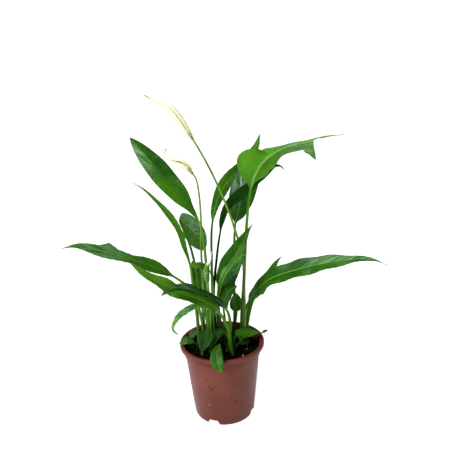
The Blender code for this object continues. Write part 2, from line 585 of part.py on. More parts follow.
def spathe_body(bloom):
    """The rolled spathe: rings shaped like a C, whose gap faces the opening, round the stem's end and
    on to a thin tail."""
    line = Line(bloom["line"])
    base = line.marks[bloom["head"]]
    length = line.length - base
    s = np.r_[-4.0, np.linspace(0, 1, 13) ** 1.1 * length]
    t = np.clip(s / length, 0, 1)
    middle = line.at(base + s)
    forward = line.tangent(base + s)
    opening = np.asarray(bloom["opening"], float)
    open_way = unit(opening - (forward @ opening)[:, None] * forward)
    side = np.cross(forward, open_way)
    flare = bloom["girth"] * blade_outline(t, bloom["belly"], bloom["blunt"])
    inner = np.maximum((bloom["radius"][1] + 0.5) * (1 - ease(t / 0.2)) + flare, 0.4)
    outer = inner + 0.8
    gap = np.radians(along(bloom["gap"], t))
    half = SPATHE_POINTS
    rings = []
    for i in range(len(s)):
        turn = np.linspace(gap[i] / 2, TAU - gap[i] / 2, half)
        wide = np.r_[np.full(half, outer[i]), np.full(half, inner[i])]
        both = np.r_[turn, turn[::-1]]
        rings.append(middle[i] + (wide * np.cos(both))[:, None] * open_way[i]
                     + (wide * np.sin(both))[:, None] * side[i])
    return loft(rings)


def spadix_body(bloom):
    """A knobbed spike on a short neck: its florets are raised by a chequered formula."""
    line = Line(bloom["line"])
    length, girth = bloom["spadix"]
    t = np.linspace(0, 1, SPADIX_ROWS)
    s = line.marks[bloom["head"]] + GAP + t * (length + 5)
    swell = ease((t - 0.08) / 0.25) * np.sqrt(np.clip(1 - ((t - 0.35) / 0.72) ** 4, 0.05, 1))
    wide = 0.7 + (girth - 0.7) * swell
    chequer = (-1.0) ** (np.arange(SPADIX_SIDES)[None, :] + np.arange(SPADIX_ROWS)[:, None])
    knob = 1 + FLORET_RELIEF * chequer * (t > 0.15)[:, None]
    return loft(circles(line, s, wide[:, None] * knob, SPADIX_SIDES))


def bud_body():
    """A closed spindle with a thin point."""
    line = Line(BUD["line"])
    base = line.marks[BUD["head"]]
    s = np.linspace(base + GAP, line.length, 11)[:-1]
    t = (s - base) / (line.length - base)
    wide = BUD["radius"][1] * (1 - t) + BUD["girth"] * blade_outline(t, 0.3, 1.6)
    rings = circles(line, s, np.maximum(wide, 0.8)[:, None], STEM_SIDES)
    return loft(rings, tip=line.at(np.array([line.length]))[0])


def make_blooms(parts):
    stalk = material("Flower_Stalk", (0.12, 0.25, 0.05), 0.4)
    petal = material("Spathe_Cream", (0.75, 0.72, 0.5), 0.5)
    spike = material("Spadix", (0.45, 0.4, 0.12), 0.6)
    roots = []
    for name, bloom in BLOOMS.items():
        roots.append(make_stem(name + "_stem", bloom, parts, stalk))
        add_mesh(name + "_spathe", *spathe_body(bloom), parts, petal)
        add_mesh(name + "_spadix", *spadix_body(bloom), parts, spike)
    roots.append(make_stem("bud_stem", BUD, parts, stalk))
    add_mesh("bud_spathe", *bud_body(), parts, petal)
    return roots


def main():
    clear_scene()
    parts = new_collection("Potted_Peace_Lily")
    cutters = new_collection("Cutters", hidden=True)
    make_pot(parts, cutters)
    roots = make_leaves(parts) + make_blooms(parts)
    make_soil(parts, cutters, roots)


main()
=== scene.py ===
import math

import bpy
import numpy as np
from mathutils import Matrix


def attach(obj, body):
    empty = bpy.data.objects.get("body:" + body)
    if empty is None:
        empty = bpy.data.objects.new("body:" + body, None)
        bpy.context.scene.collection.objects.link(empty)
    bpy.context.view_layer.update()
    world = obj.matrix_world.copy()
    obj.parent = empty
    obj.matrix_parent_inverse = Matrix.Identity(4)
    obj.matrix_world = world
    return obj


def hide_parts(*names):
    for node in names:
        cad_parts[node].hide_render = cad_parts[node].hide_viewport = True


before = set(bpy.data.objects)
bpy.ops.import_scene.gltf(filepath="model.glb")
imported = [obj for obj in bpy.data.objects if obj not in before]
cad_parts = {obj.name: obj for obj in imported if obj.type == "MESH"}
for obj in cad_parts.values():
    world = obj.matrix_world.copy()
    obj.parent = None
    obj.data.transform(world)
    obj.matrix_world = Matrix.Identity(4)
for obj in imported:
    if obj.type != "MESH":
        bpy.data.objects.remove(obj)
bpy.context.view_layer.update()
mm = 0.001
tau = 2 * math.pi


def ease(x):
    # 3x^2 - 2x^3 between 0 and 1, flat outside
    x = np.clip(x, 0, 1)
    return x * x * (3 - 2 * x)


def along(values, t):
    # evenly spaced values, eased from one to the next while t runs from 0 to 1
    values = np.asarray(values, float)
    if values.ndim == 0:
        return np.full(len(t), float(values))
    place = np.clip(t, 0, 1) * (len(values) - 1)
    low = np.minimum(place.astype(int), len(values) - 2)
    mix = ease(place - low)
    if values.ndim == 2:
        mix = mix[:, None]
    return values[low] * (1 - mix) + values[low + 1] * mix


def unit(vectors):
    return vectors / np.linalg.norm(vectors, axis=-1, keepdims=True)


def hump(x, centre, width):
    # 1 at the centre, 0.37 one width away, and soon nothing
    return np.exp(-((x - centre) / width) ** 2)


def spindle(t, widest, belly, blunt):
    # nothing at both ends and widest at the belly; a larger blunt draws the far end out thinner
    rise = blunt * belly / (1 - belly)
    return widest * (t**rise * (1 - t) ** blunt / (belly**rise * (1 - belly) ** blunt))


def faces(upper, lower=None):
    # the upper face's columns from left to right, then the lower face's back again
    lower = upper if lower is None else lower
    return np.hstack([upper, lower[:, ::-1]])


def turns(count):
    # equal steps round a circle
    return np.arange(count) * tau / count


def placed(middle, side, up, out, lift):
    # rings along a line: each point is its ring's middle + out x side + lift x up
    return middle[:, None] + out[:, :, None] * side[:, None] + lift[:, :, None] * up[:, None]


def hashed(x, y, z, seed):
    # a fixed pseudo-random number from 0 to 1 for each whole-number cell
    n = np.sin(x * 127.1 + y * 311.7 + z * 74.7 + seed * 53.3) * 43758.5453
    return n - np.floor(n)


def lumps(x, y, z, size, seed=0):
    # value noise from -1 to 1: random numbers at cell corners, eased between them
    cell = [np.floor(v / size) for v in (x, y, z)]
    mix = [ease(v / size - c) for v, c in zip((x, y, z), cell)]
    total = 0.0
    for i, j, k in np.ndindex(2, 2, 2):
        share = np.abs(1 - i - mix[0]) * np.abs(1 - j - mix[1]) * np.abs(1 - k - mix[2])
        total = total + share * hashed(cell[0] + i, cell[1] + j, cell[2] + k, seed)
    return 2 * total - 1


class Line:
    # A smooth curve through points in mm, read by its length: a cubic piece from each point to the next,
    # its slopes averaged from the chords on either side. Before its start it runs on straight.

    def __init__(self, points, steps=900):
        p = np.asarray(points, float)
        knots = np.r_[0, np.cumsum(np.sqrt(np.linalg.norm(np.diff(p, axis=0), axis=1)))]
        slope = np.diff(p, axis=0) / np.diff(knots)[:, None]
        span = np.diff(knots)[:, None]
        inner = (slope[:-1] * span[1:] + slope[1:] * span[:-1]) / (span[:-1] + span[1:])
        tangents = np.vstack([slope[:1], inner, slope[-1:]])
        u = np.linspace(0, knots[-1], steps)
        k = np.clip(np.searchsorted(knots, u, side="right") - 1, 0, len(p) - 2)
        h = (knots[k + 1] - knots[k])[:, None]
        s = (u - knots[k])[:, None] / h
        self.points = ((2 * s**3 - 3 * s**2 + 1) * p[k] + (s**3 - 2 * s**2 + s) * h * tangents[k]
                       + (3 * s**2 - 2 * s**3) * p[k + 1] + (s**3 - s**2) * h * tangents[k + 1])
        self.lengths = np.r_[0, np.cumsum(np.linalg.norm(np.diff(self.points, axis=0), axis=1))]
        self.marks = np.interp(knots, u, self.lengths)
        self.length = self.lengths[-1]
        self.start = unit(self.points[steps // 100] - self.points[0])

    def at(self, s):
        inside = np.clip(s, 0, self.length)
        found = np.stack([np.interp(inside, self.lengths, self.points[:, i]) for i in range(3)], 1)
        return found + np.minimum(s, 0)[:, None] * self.start

    def end(self):
        return self.at(np.array([self.length]))[0]

    def tangent(self, s, reach=1.5):
        return unit(self.at(np.minimum(s + reach, self.length)) - self.at(s - reach))


def tubeFaces(rows, count):
    # quads over rings of equal counts that close on themselves
    ring = np.arange(count)
    a = (np.arange(rows - 1)[:, None] * count + ring).ravel()
    b = (np.arange(rows - 1)[:, None] * count + (ring + 1) % count).ravel()
    return np.stack([a, b, b + count, a + count], 1)


def newObject(name, data):
    thing = bpy.data.objects.new(name, data)
    bpy.context.scene.collection.objects.link(thing)
    return thing


def buildMesh(name, points, quads, caps, finish, attributes=None, smooth=True):
    # points in mm; quads as rows of four; caps as a list of faces of any size
    points = np.asarray(points, float).reshape(-1, 3) * mm
    mesh = bpy.data.meshes.new(name)
    corners = np.concatenate([quads.ravel()] + [np.asarray(c) for c in caps]).astype(np.int32)
    sizes = np.concatenate([np.full(len(quads), 4), [len(c) for c in caps]]).astype(np.int32)
    mesh.vertices.add(len(points))
    mesh.vertices.foreach_set("co", points.ravel())
    mesh.loops.add(len(corners))
    mesh.loops.foreach_set("vertex_index", corners)
    mesh.polygons.add(len(sizes))
    mesh.polygons.foreach_set("loop_start", np.r_[0, np.cumsum(sizes)[:-1]].astype(np.int32))
    mesh.polygons.foreach_set("use_smooth", np.full(len(sizes), smooth))
    mesh.update(calc_edges=True)
    for label, values in (attributes or {}).items():
        layer = mesh.attributes.new(label, "FLOAT", "POINT")
        layer.data.foreach_set("value", np.asarray(values, np.float32).ravel())
    mesh.validate()
    mesh.materials.append(finish)
    return newObject(name, mesh)


def ringMesh(name, rings, finish, attributes=None, start=None, tip=None):
    # a closed body over rings; start and tip are the points that close its ends
    rows, count = rings.shape[:2]
    start = rings[0].mean(0) if start is None else start
    tip = rings[-1].mean(0) if tip is None else tip
    points = np.vstack([rings.reshape(-1, 3), start, tip])
    last = (rows - 1) * count
    first = len(points) - 2
    caps = [((k + 1) % count, k, first) for k in range(count)]
    caps += [(last + k, last + (k + 1) % count, first + 1) for k in range(count)]
    extended = {}
    for label, values in (attributes or {}).items():
        values = np.broadcast_to(values, (rows, count))
        extended[label] = np.r_[values.ravel(), values[0].mean(), values[-1].mean()]
    return buildMesh(name, points, tubeFaces(rows, count), caps, finish, extended)


def putIn(thing, slotName, *nodes):
    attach(thing, "root")
    if nodes:
        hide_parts(*nodes)
    return thing


def linear(code):
    # sRGB hex to linear red, green, blue
    channels = [int(code[i:i + 2], 16) / 255 for i in (1, 3, 5)]
    return [c / 12.92 if c <= 0.04045 else ((c + 0.055) / 1.055) ** 2.4 for c in channels]


def newMaterial(name):
    made = bpy.data.materials.new(name)
    made.use_nodes = True
    tree = made.node_tree
    return made, tree, tree.nodes["Principled BSDF"]


def fill(tree, node, values):
    # sets a node's inputs, by name or number: another node's output is linked, a plain value set directly
    for key, value in values.items():
        if isinstance(value, bpy.types.NodeSocket):
            tree.links.new(value, node.inputs[key])
        else:
            node.inputs[key].default_value = value


def add(tree, kind, inputs=None, **settings):
    # a node with its settings and inputs
    node = tree.nodes.new(kind)
    for key, value in settings.items():
        setattr(node, key, value)
    fill(tree, node, inputs or {})
    return node


def reading(tree, label):
    return add(tree, "ShaderNodeAttribute", attribute_name=label).outputs["Fac"]


def times(tree, a, b):
    return add(tree, "ShaderNodeMath", {0: a, 1: b}, operation="MULTIPLY").outputs[0]


def plus(tree, a, b, clamp=False):
    return add(tree, "ShaderNodeMath", {0: a, 1: b}, operation="ADD", use_clamp=clamp).outputs[0]


def blend(tree, amount, first, second):
    # mixes two colours; a hex value is turned to linear
    inputs = {0: amount}
    for key, value in ((6, first), (7, second)):
        inputs[key] = (*linear(value), 1) if isinstance(value, str) else value
    return add(tree, "ShaderNodeMix", inputs, data_type="RGBA").outputs[2]


def spread(tree, value, low, high, outLow=0.0, outHigh=1.0):
    # low..high eased to outLow..outHigh
    inputs = {"Value": value, "From Min": low, "From Max": high, "To Min": outLow, "To Max": outHigh}
    return add(tree, "ShaderNodeMapRange", inputs, interpolation_type="SMOOTHSTEP").outputs[0]


def grain(tree, sizeMm, detail=2.0, stretch=(1, 1, 1)):
    # soft noise on the piece's own coordinates, its cells about sizeMm across
    place = add(tree, "ShaderNodeTexCoord").outputs["Object"]
    turned = add(tree, "ShaderNodeMapping", {"Vector": place, "Scale": stretch}).outputs[0]
    inputs = {"Vector": turned, "Scale": 1000 / sizeMm, "Detail": detail}
    return add(tree, "ShaderNodeTexNoise", inputs).outputs["Fac"]


def relief(tree, height, strength, depth):
    # fine grain on the surface, depth in metres
    inputs = {"Height": height, "Strength": strength, "Distance": depth}
    return add(tree, "ShaderNodeBump", inputs).outputs[0]


# pale serves both the leaf's own paleness and painted sheen; shaded is the colour of painted shade
leafColours = {
    "deep": "#0c3a02", "fresh": "#377206", "vein": "#5c962c", "midrib": "#86b552",
    "under": "#5a9c22", "yellow": "#86a012", "dry": "#7d5f35", "stalk": "#558f18",
    "stalkFoot": "#62932b", "pale": "#a9cbb2", "shaded": "#082803",
}


def leafMaterial(name, colours, gloss=0.34, shine=0.11):
    # living leaf with a waxy skin: deep green, paler veins, and painted sheen in streaks along them
    made, tree, shader = newMaterial(name)
    tone = reading(tree, "tone")
    lower = reading(tree, "lowerFace")
    veinPhase = reading(tree, "veinPhase")
    cloud = grain(tree, 22, 2)
    fine = grain(tree, 2.2, 3)
    depth = plus(tree, tone, spread(tree, cloud, 0.3, 0.7, -0.22, 0.22), clamp=True)
    green = blend(tree, depth, colours["deep"], colours["fresh"])
    green = blend(tree, lower, green, blend(tree, depth, colours["fresh"], colours["under"]))
    wave = add(tree, "ShaderNodeMath", {0: veinPhase, 1: 0.5}, operation="PINGPONG").outputs[0]
    vein = times(tree, spread(tree, wave, 0.09, 0.0), reading(tree, "veinStrength"))
    vein = times(tree, vein, spread(tree, lower, 0, 1, 0.4, 0.6))
    green = blend(tree, vein, green, colours["vein"])
    rib = times(tree, reading(tree, "midrib"), spread(tree, lower, 0, 1, 0.4, 0.95))
    green = blend(tree, rib, green, colours["midrib"])
    green = blend(tree, spread(tree, fine, 0.62, 0.8, 0, 0.2), green, colours["vein"])
    # painted sheen, with the leaf's own paleness, lies in streaks that follow the veins
    crosswise = times(tree, veinPhase, 0.8)
    lengthwise = times(tree, reading(tree, "along"), 3.0)
    place = add(tree, "ShaderNodeCombineXYZ", {"X": crosswise, "Y": lengthwise, "Z": tone}).outputs[0]
    streak = add(tree, "ShaderNodeTexNoise", {"Vector": place, "Scale": 2.2, "Detail": 2.0}).outputs["Fac"]
    streak = spread(tree, streak, 0.42, 0.6, 0.05, 1.0)
    green = blend(tree, times(tree, reading(tree, "paleAndSheen"), streak), green, colours["pale"])
    green = blend(tree, reading(tree, "yellowing"), green, colours["yellow"])
    dryness = times(tree, reading(tree, "dryness"), spread(tree, fine, 0.3, 0.6, 0.55, 1.0))
    green = blend(tree, dryness, green, colours["dry"])
    # painted shade: the stalk is darker down one flank, where shade falls; its foot and some rear leaves
    # are painted darker, as in deep shade, whatever the light
    stem = blend(tree, reading(tree, "height"), colours["stalkFoot"], colours["stalk"])
    stem = blend(tree, spread(tree, cloud, 0.35, 0.7, 0, 0.3), stem, colours["deep"])
    stem = blend(tree, times(tree, reading(tree, "shadedFlank"), 0.6), stem, colours["deep"])
    skin = blend(tree, reading(tree, "stalk"), green, stem)
    skin = blend(tree, reading(tree, "shade"), skin, colours["shaded"])
    rough = plus(tree, spread(tree, fine, 0.3, 0.7, gloss, gloss + 0.12), times(tree, lower, 0.12))
    # faint network between the veins, drawn a little coarser than life so that it shows
    net = plus(tree, grain(tree, 1.1, 2), times(tree, wave, 0.8))
    fill(tree, shader, {"Base Color": skin, "Roughness": rough, "IOR": 1.42, "Specular IOR Level": shine,
                        "Normal": relief(tree, net, 0.35, 0.0004)})
    return made


# sizes in mm, and numbers of rings
leafShape = {
    "rootDepth": 15.0, "edgeThick": 0.42, "middleThick": 0.8, "narrowest": 0.35, "crowding": 1.15,
    "rings": (26, 170), "across": 25, "footRings": (10, 70), "footAcross": 17, "lastRing": 0.996,
    "veinGap": 8.5, "veinLean": 2.6, "veinDepth": 0.75, "ribWidth": 0.9, "grooveDepth": 0.45,
    "grooveWidth": 1.1, "keel": 1.15, "keelWidth": 1.0, "wave": (0.3, 2), "waveGain": 1.6,
    "frillHeight": 0.3, "frillLength": 9.0, "speckle": 9.0, "footShade": 85.0,
}
# Each leaf has midrib points from the soil to the tip, and which of them its blade starts at; the way the
# upper face looks; half-width, place of the belly and bluntness; fold in degrees; height and number of
# waves; and the stalk's radius at the soil and at the blade. Lobes and sweeps say where along the blade,
# how long, how far out or ahead, and which margin: -1 left, 1 right. Tone goes from deep green at 0 to
# fresh at 1, with halves painting one half lighter and the other darker; then paintedSheen, painted
# highlight (where, how long, which side, how much), a dry tip, a pale rib, and bothPale for the lower face's
# colour showing through. Foot, stem and dark paint shade on the stalk's foot, whole stalk and whole leaf.
leafTable = {
    "leaf_upper_left": dict(
        line=[(-17, 10, 101), (-17, 12, 170), (-18, 16, 231), (-24, 20, 281), (-73, 45, 345),
              (-116, 66, 396)],
        blade=3, face=[(0.3, -1, 0.3), (0.25, -1, 0.25), (0, -1, 0.35)],
        outline=(15.5, 0.54, 0.85), fold=16, wave=(1.2, 3.2), stalk=(2.6, 1.4),
        lobes=[(0.15, 0.1, -2.5, -1), (0.15, 0.1, -3, 1)],
        tone=0.33, rib=0.35, halves=-0.2, paintedSheen=(0.82, 0.16, -1, 0.42), foot=0.8),
    "leaf_narrow_left": dict(
        line=[(-33, 8, 101), (-34, 10, 148), (-37, 4, 195), (-39, 0, 227), (-46, -6, 258), (-54, -15, 290),
              (-66, -23, 312), (-88, -35, 343), (-101, -40, 354)],
        blade=3, face=[(0.7, -0.7, 0.3), (0.5, -0.8, 0.4), (0.3, -0.8, 0.6)],
        outline=(4.6, 0.45, 1.3), fold=20, wave=(0.6, 3), phase=1, stalk=(2.6, 1.6),
        tone=1.0, bothPale=0.4),
    "leaf_far_left": dict(
        line=[(-24, -5, 101), (-27, -10, 150), (-38, -20, 197), (-57, -30, 222), (-95, -48, 250),
              (-136, -62, 271), (-171, -71, 285), (-188, -76, 285)],
        blade=3, face=[(0.2, -0.6, 0.8), (0.1, -0.4, 0.9), (0.1, -0.4, 0.9), (0, -0.5, 0.8)],
        outline=(11.5, 0.46, 1.15), fold=10, wave=(1.2, 2.2), phase=1, stalk=(2.4, 1.5),
        lobes=[(0.2, 0.09, 4, 1), (0.42, 0.08, -4.5, 1), (0.42, 0.08, -1.5, -1), (0.63, 0.06, 8, 1)],
        tone=0.65, dry=0.9, paintedSheen=(0.75, 0.3, 0, 0.2)),
    "leaf_round_back": dict(
        line=[(-26, 25, 101), (-26, 24, 152), (-30, 26, 191), (-39, 33, 243), (-48, 40, 267), (-53, 47, 277),
              (-49, 55, 273), (-38, 63, 259), (-29, 70, 243), (-20, 76, 223)],
        blade=5, face=[(0.3, -0.5, 0.5), (0.3, -0.8, 0.6), (0.5, -1, 0.3)],
        outline=(18, 0.42, 0.6), fold=5, wave=(0.5, 2), stalk=(2.2, 1.3),
        tone=1.0, stem=0.65, bothPale=0.45, paintedSheen=(0.4, 0.4, -1, 0.6)),
    "leaf_front_left": dict(
        line=[(15, -22, 101), (12, -26, 118), (9, -34, 145), (0, -45, 173), (-18, -57, 196), (-47, -72, 217),
              (-79, -84, 242), (-105, -92, 269)],
        blade=3, face=[(0.3, -0.7, 0.6), (0.1, -0.5, 0.8), (-0.1, -0.5, 0.8)],
        outline=(11, 0.42, 0.9), fold=12, wave=(1.6, 3), stalk=(2.7, 1.8), lobes=[(0.1, 0.13, -4.5, -1)],
        tone=0.9, yellow=0.1, bothPale=0.35),
    "leaf_over_left": dict(
        line=[(7, -13, 101), (11, -16, 126), (12, -24, 153), (7, -36, 177), (-15, -58, 206), (-38, -76, 224),
              (-58, -92, 233), (-70, -102, 229)],
        blade=3, face=[(0.3, -0.5, 0.8), (0.1, -0.4, 0.9), (-0.1, -0.5, 0.8)],
        outline=(10, 0.45, 0.8), fold=10, wave=(1, 3), stalk=(2.4, 1.6),
        lobes=[(0.35, 0.12, -4, -1), (0.35, 0.12, -4, 1)], tone=0, paintedSheen=(0.75, 0.18, 1, 0.2)),
    "leaf_drooping_left": dict(
        line=[(-17, -13, 101), (-18, -19, 150), (-20, -26, 172), (-30, -34, 182), (-44, -46, 181),
              (-58, -58, 172), (-62, -62, 164), (-56, -62, 155)],
        blade=3, face=[(0.1, -0.6, 0.8), (-0.6, -0.5, 0.6), (-1, -0.4, -0.2)],
        outline=(6.2, 0.42, 0.75), fold=25, wave=(0.5, 2), stalk=(2.1, 1.2),
        tone=0.9, paleAndSheen=0.55, yellow=0.3),
    "leaf_tall_back": dict(
        line=[(-13, 22, 101), (-11, 30, 161), (-10, 40, 216), (-7, 52, 268), (4, 64, 306), (24, 78, 331),
              (46, 90, 349), (62, 100, 369), (69, 106, 389)],
        blade=3, face=[(-0.6, 0.9, 0.3), (-0.4, 1, 0.3), (-0.3, 1, 0.3)],
        outline=(11.5, 0.5, 0.9), fold=8, wave=(1, 2.5), stalk=(2.4, 1.4), keel=0.3,
        tone=0.22, stem=0.3, rib=0.2, foot=0.6),
    "leaf_dark_right": dict(
        line=[(-8, 12, 101), (-9, 12, 178), (-3, 11, 228), (3, 10, 265), (13, 10, 301), (34, 12, 320),
              (61, 13, 342), (80, 15, 357), (88, 16, 356), (94, 16, 350)],
        blade=3, face=[(-0.6, -0.7, 0.3), (-0.4, -0.6, 0.7), (-0.4, -0.6, 0.7)],
        outline=(9.5, 0.52, 1.3), fold=15, wave=(1, 3), stalk=(2.2, 1.3),
        tone=0, stem=0.2, rib=0.3, dark=0.8, foot=0.4, dry=1.0, matt=True),
    "leaf_glossy_back": dict(
        line=[(17, 26, 101), (20, 30, 131), (21, 36, 188), (23, 42, 232), (26, 48, 268), (36, 58, 306),
              (54, 78, 350), (61, 85, 362)],
        blade=4, face=[(0.1, -1, 0.3), (0.1, -1, 0.3), (0, -1, 0.3)],
        outline=(19, 0.5, 0.8), fold=12, wave=(1, 3), stalk=(2.4, 1.4),
        tone=0.1, dark=0.1, stem=0.3, paintedSheen=(0.55, 0.22, -1, 0.7)),
    "leaf_crested_right": dict(
        line=[(29, 20, 101), (30, 18, 139), (34, 12, 191), (38, 4, 259), (42, -3, 306), (45, -9, 330),
              (51, -15, 351), (61, -18, 368), (79, -11, 380), (102, 2, 386), (125, 18, 387), (150, 32, 391),
              (179, 42, 391)],
        blade=5, face=[(-0.25, 1, 0.1), (-0.2, 1, 0.1), (-0.2, 1, 0), (-0.3, 1, 0), (0, 1, 0)],
        outline=(24, 0.27, 2.5), fold=5, foldRight=(5, 5, 5, 14, 80, 88, 90, 90, 85, 80, 70, 60, 60),
        wave=(1.2, 3), stalk=(2.6, 1.5),
        lobes=[(0.08, 0.08, -8, -1), (0.22, 0.06, -6, -1), (0.4, 0.16, -11, -1), (0.645, 0.022, 6, -1),
               (0.686, 0.023, 22, -1), (0.74, 0.04, -7, -1), (0.19, 0.06, 8, 1), (0.28, 0.04, -9, 1)],
        sweeps=[(0.686, 0.023, 9, -1)],
        tone=0.35, rib=1.2, paintedSheen=(0.6, 0.17, 0, 0.38), dry=0.6, dryFrom=0.82, bothPale=0.62),
    "leaf_middle": dict(
        line=[(1, 14, 101), (-3, 13, 160), (-2, 5, 188), (10, -4, 220), (25, -12, 248), (37, -18, 271),
              (47, -22, 290)],
        blade=2, face=[(-0.5, -0.9, 0.3), (-0.3, -1, 0.3), (-0.1, -1, 0.4)],
        outline=(12.5, 0.42, 1.1), fold=8, wave=(1, 3), stalk=(2.2, 1.5),
        lobes=[(0.25, 0.22, 8, 1), (0.8, 0.2, -3, 1)], tone=0.3, paintedSheen=(0.5, 0.3, 1, 0.12), foot=0.9),
    "leaf_middle_front": dict(
        line=[(-2, 1, 101), (-5, -6, 159), (-2, -13, 186), (3, -22, 211), (13, -32, 232), (25, -40, 249),
              (37, -45, 258)],
        blade=2, face=[(-0.6, -0.3, 0.9), (-0.5, -0.2, 0.9), (-0.3, -0.2, 1)],
        outline=(9, 0.45, 0.9), fold=25, wave=(0.8, 3), stalk=(2.1, 1.4),
        tone=0.5, paintedSheen=(0.4, 0.3, -1, 0.3), foot=0.9),
    "leaf_far_right": dict(
        line=[(34, 27, 101), (38, 22, 131), (43, 16, 157), (48, 12, 171), (65, 0, 199), (108, -20, 223),
              (159, -38, 239), (197, -50, 243), (216, -55, 236)],
        blade=3, face=[(-0.6, -0.5, 0.5), (-0.2, -0.7, 0.7), (0.1, -0.8, 0.7), (0.1, -0.8, 0.7)],
        outline=(12, 0.4, 1.5), fold=15, wave=(1.4, 5), stalk=(3.5, 3.0),
        lobes=[(0.08, 0.08, 2, -1), (0.1, 0.07, 7, 1), (0.6, 0.15, 1, 1)],
        foot=0.1, tone=0.3, rib=1.5, paintedSheen=(0.75, 0.25, -1, 0.35)),
    "leaf_right_back": dict(
        line=[(27, 35, 101), (34, 41, 126), (41, 48, 145), (59, 60, 162), (77, 72, 180), (88, 80, 196),
              (96, 83, 203), (101, 84, 202)],
        blade=2, face=[(-0.5, -0.8, 0.5), (-0.3, -0.9, 0.5), (-0.1, -0.8, 0.6)],
        outline=(9, 0.38, 1.5), fold=12, wave=(0.8, 3), stalk=(2.4, 1.6), tone=0.4),
    "leaf_low_right": dict(
        line=[(18, 40, 101), (22, 46, 120), (24, 49, 131), (23, 52, 144), (24, 56, 159)],
        blade=2, face=[(0.2, -1, 0.3), (0.2, -1, 0.3)],
        outline=(10, 0.45, 0.8), fold=15, wave=(0.5, 2), stalk=(1.8, 1.3), tone=0.3),
    "leaf_low_middle": dict(
        line=[(5, -3, 101), (5, -8, 151), (4, -13, 168), (7, -21, 186), (14, -27, 200), (23, -31, 207)],
        blade=2, face=[(-0.5, -0.7, 0.6), (-0.4, -0.7, 0.7), (-0.2, -0.7, 0.7)],
        outline=(12, 0.45, 0.8), fold=12, wave=(0.5, 2), stalk=(1.9, 1.3), tone=0, foot=0.9),
    "leaf_behind_stems": dict(
        line=[(-20, 31, 101), (-22, 38, 131), (-26, 46, 156), (-32, 56, 184), (-39, 62, 211)],
        blade=2, face=[(0.2, -1, 0.3), (0.2, -1, 0.3)],
        outline=(10, 0.45, 0.7), fold=10, wave=(0.5, 2), stalk=(2.0, 1.4), tone=0.3),
    "leaf_young_left": dict(
        line=[(-10, 1, 101), (-10, -2, 164), (-9, -4, 198), (-13, -7, 221), (-23, -10, 229), (-38, -12, 232)],
        blade=3, face=[(-0.2, -0.8, 0.6), (-0.1, -0.8, 0.6)],
        outline=(5, 0.55, 0.6), fold=20, stalk=(1.6, 1.0), tone=0.7, yellow=0.15, foot=0.8),
}
footLeafTable = {
    "foot_leaf_left": dict(
        line=[(-36, -8, 101), (-36, -9, 110), (-39, -12, 117), (-48, -15, 121), (-60, -18, 119)],
        blade=2, face=[(0, -0.5, 1), (0, -0.6, 0.9)], outline=(6, 0.45, 1.0), fold=12, stalk=(1.3, 1.0),
        tone=0.5, paleAndSheen=0.25),
    "foot_leaf_left_up": dict(
        line=[(-33, -1, 101), (-32, -2, 118), (-32, -2, 127), (-38, -4, 127), (-47, -7, 121)],
        blade=2, face=[(-0.1, -0.9, 0.5), (-0.3, -0.9, 0.4)],
        outline=(4.6, 0.5, 0.7), fold=8, stalk=(1.4, 1.0), tone=0.35, paleAndSheen=0.4),
    "foot_leaf_centre_left": dict(
        line=[(-28, -18, 101), (-25, -18, 122), (-22, -21, 138), (-20, -26, 142), (-22, -30, 134),
              (-26, -33, 122), (-30, -35, 111)],
        blade=3, face=[(0, -0.5, 1), (0.1, -1, 0.3), (0.1, -1, 0.1)],
        outline=(10.5, 0.22, 1.0), fold=18, stalk=(1.6, 1.2), tone=0.1, paleAndSheen=0.06),
    "foot_leaf_centre": dict(
        line=[(11, -17, 101), (9, -20, 120), (6, -22, 132), (1, -24, 137), (-7, -26, 135), (-14, -28, 125),
              (-18, -31, 113)],
        blade=2, face=[(0, -0.6, 0.8), (0, -0.9, 0.5), (0.1, -1, 0.2)],
        outline=(6.5, 0.5, 0.9), fold=10, stalk=(1.6, 1.2), tone=0.05, paleAndSheen=0.1, matt=True),
    "foot_leaf_front": dict(
        line=[(-3, -28, 101), (-3, -30, 117), (-4, -37, 125), (-6, -47, 125), (-8, -56, 121), (-8, -62, 116),
              (-6, -67, 110), (-2, -70, 102)],
        blade=2, face=[(0, -0.6, 0.8), (0, -1, 0.5), (0, -1, 0)],
        outline=(8.5, 0.6, 0.9), fold=10, stalk=(1.7, 1.2), tone=0.4, paleAndSheen=0.08),
    "foot_leaf_right": dict(
        line=[(20, -8, 101), (17, -9, 114), (19, -8, 121), (25, -6, 123), (34, -5, 124), (43, -4, 123),
              (52, -3, 123)],
        blade=2, face=[(0, -0.6, 0.8), (0, -0.6, 0.9)],
        outline=(7.5, 0.38, 0.6), fold=6, wave=(0.5, 2), stalk=(1.6, 1.2),
        lobes=[(0.13, 0.09, 4, 1), (0.8, 0.1, -1.5, 1)], tone=0.85, yellow=0.1),
    "foot_leaf_right_low": dict(
        line=[(21, -1, 101), (24, -2, 106), (31, -2, 109), (40, -3, 108)],
        blade=1, face=[(0, -0.6, 0.8), (0, -0.6, 0.9)], outline=(5.5, 0.5, 1.0), fold=8, stalk=(1.4, 1.0),
        tone=0.6, paleAndSheen=0.1),
    "foot_leaf_rim_right": dict(
        line=[(45, 13, 101), (47, 12, 107), (52, 10, 113), (58, 8, 116), (63, 7, 119), (67, 6, 120)],
        blade=3, face=[(0, -0.6, 0.8), (0, -0.6, 0.9)],
        outline=(2.2, 0.5, 1.2), fold=20, wave=(0.1, 2), stalk=(1.2, 0.9), tone=0.4, paleAndSheen=0.2),
}


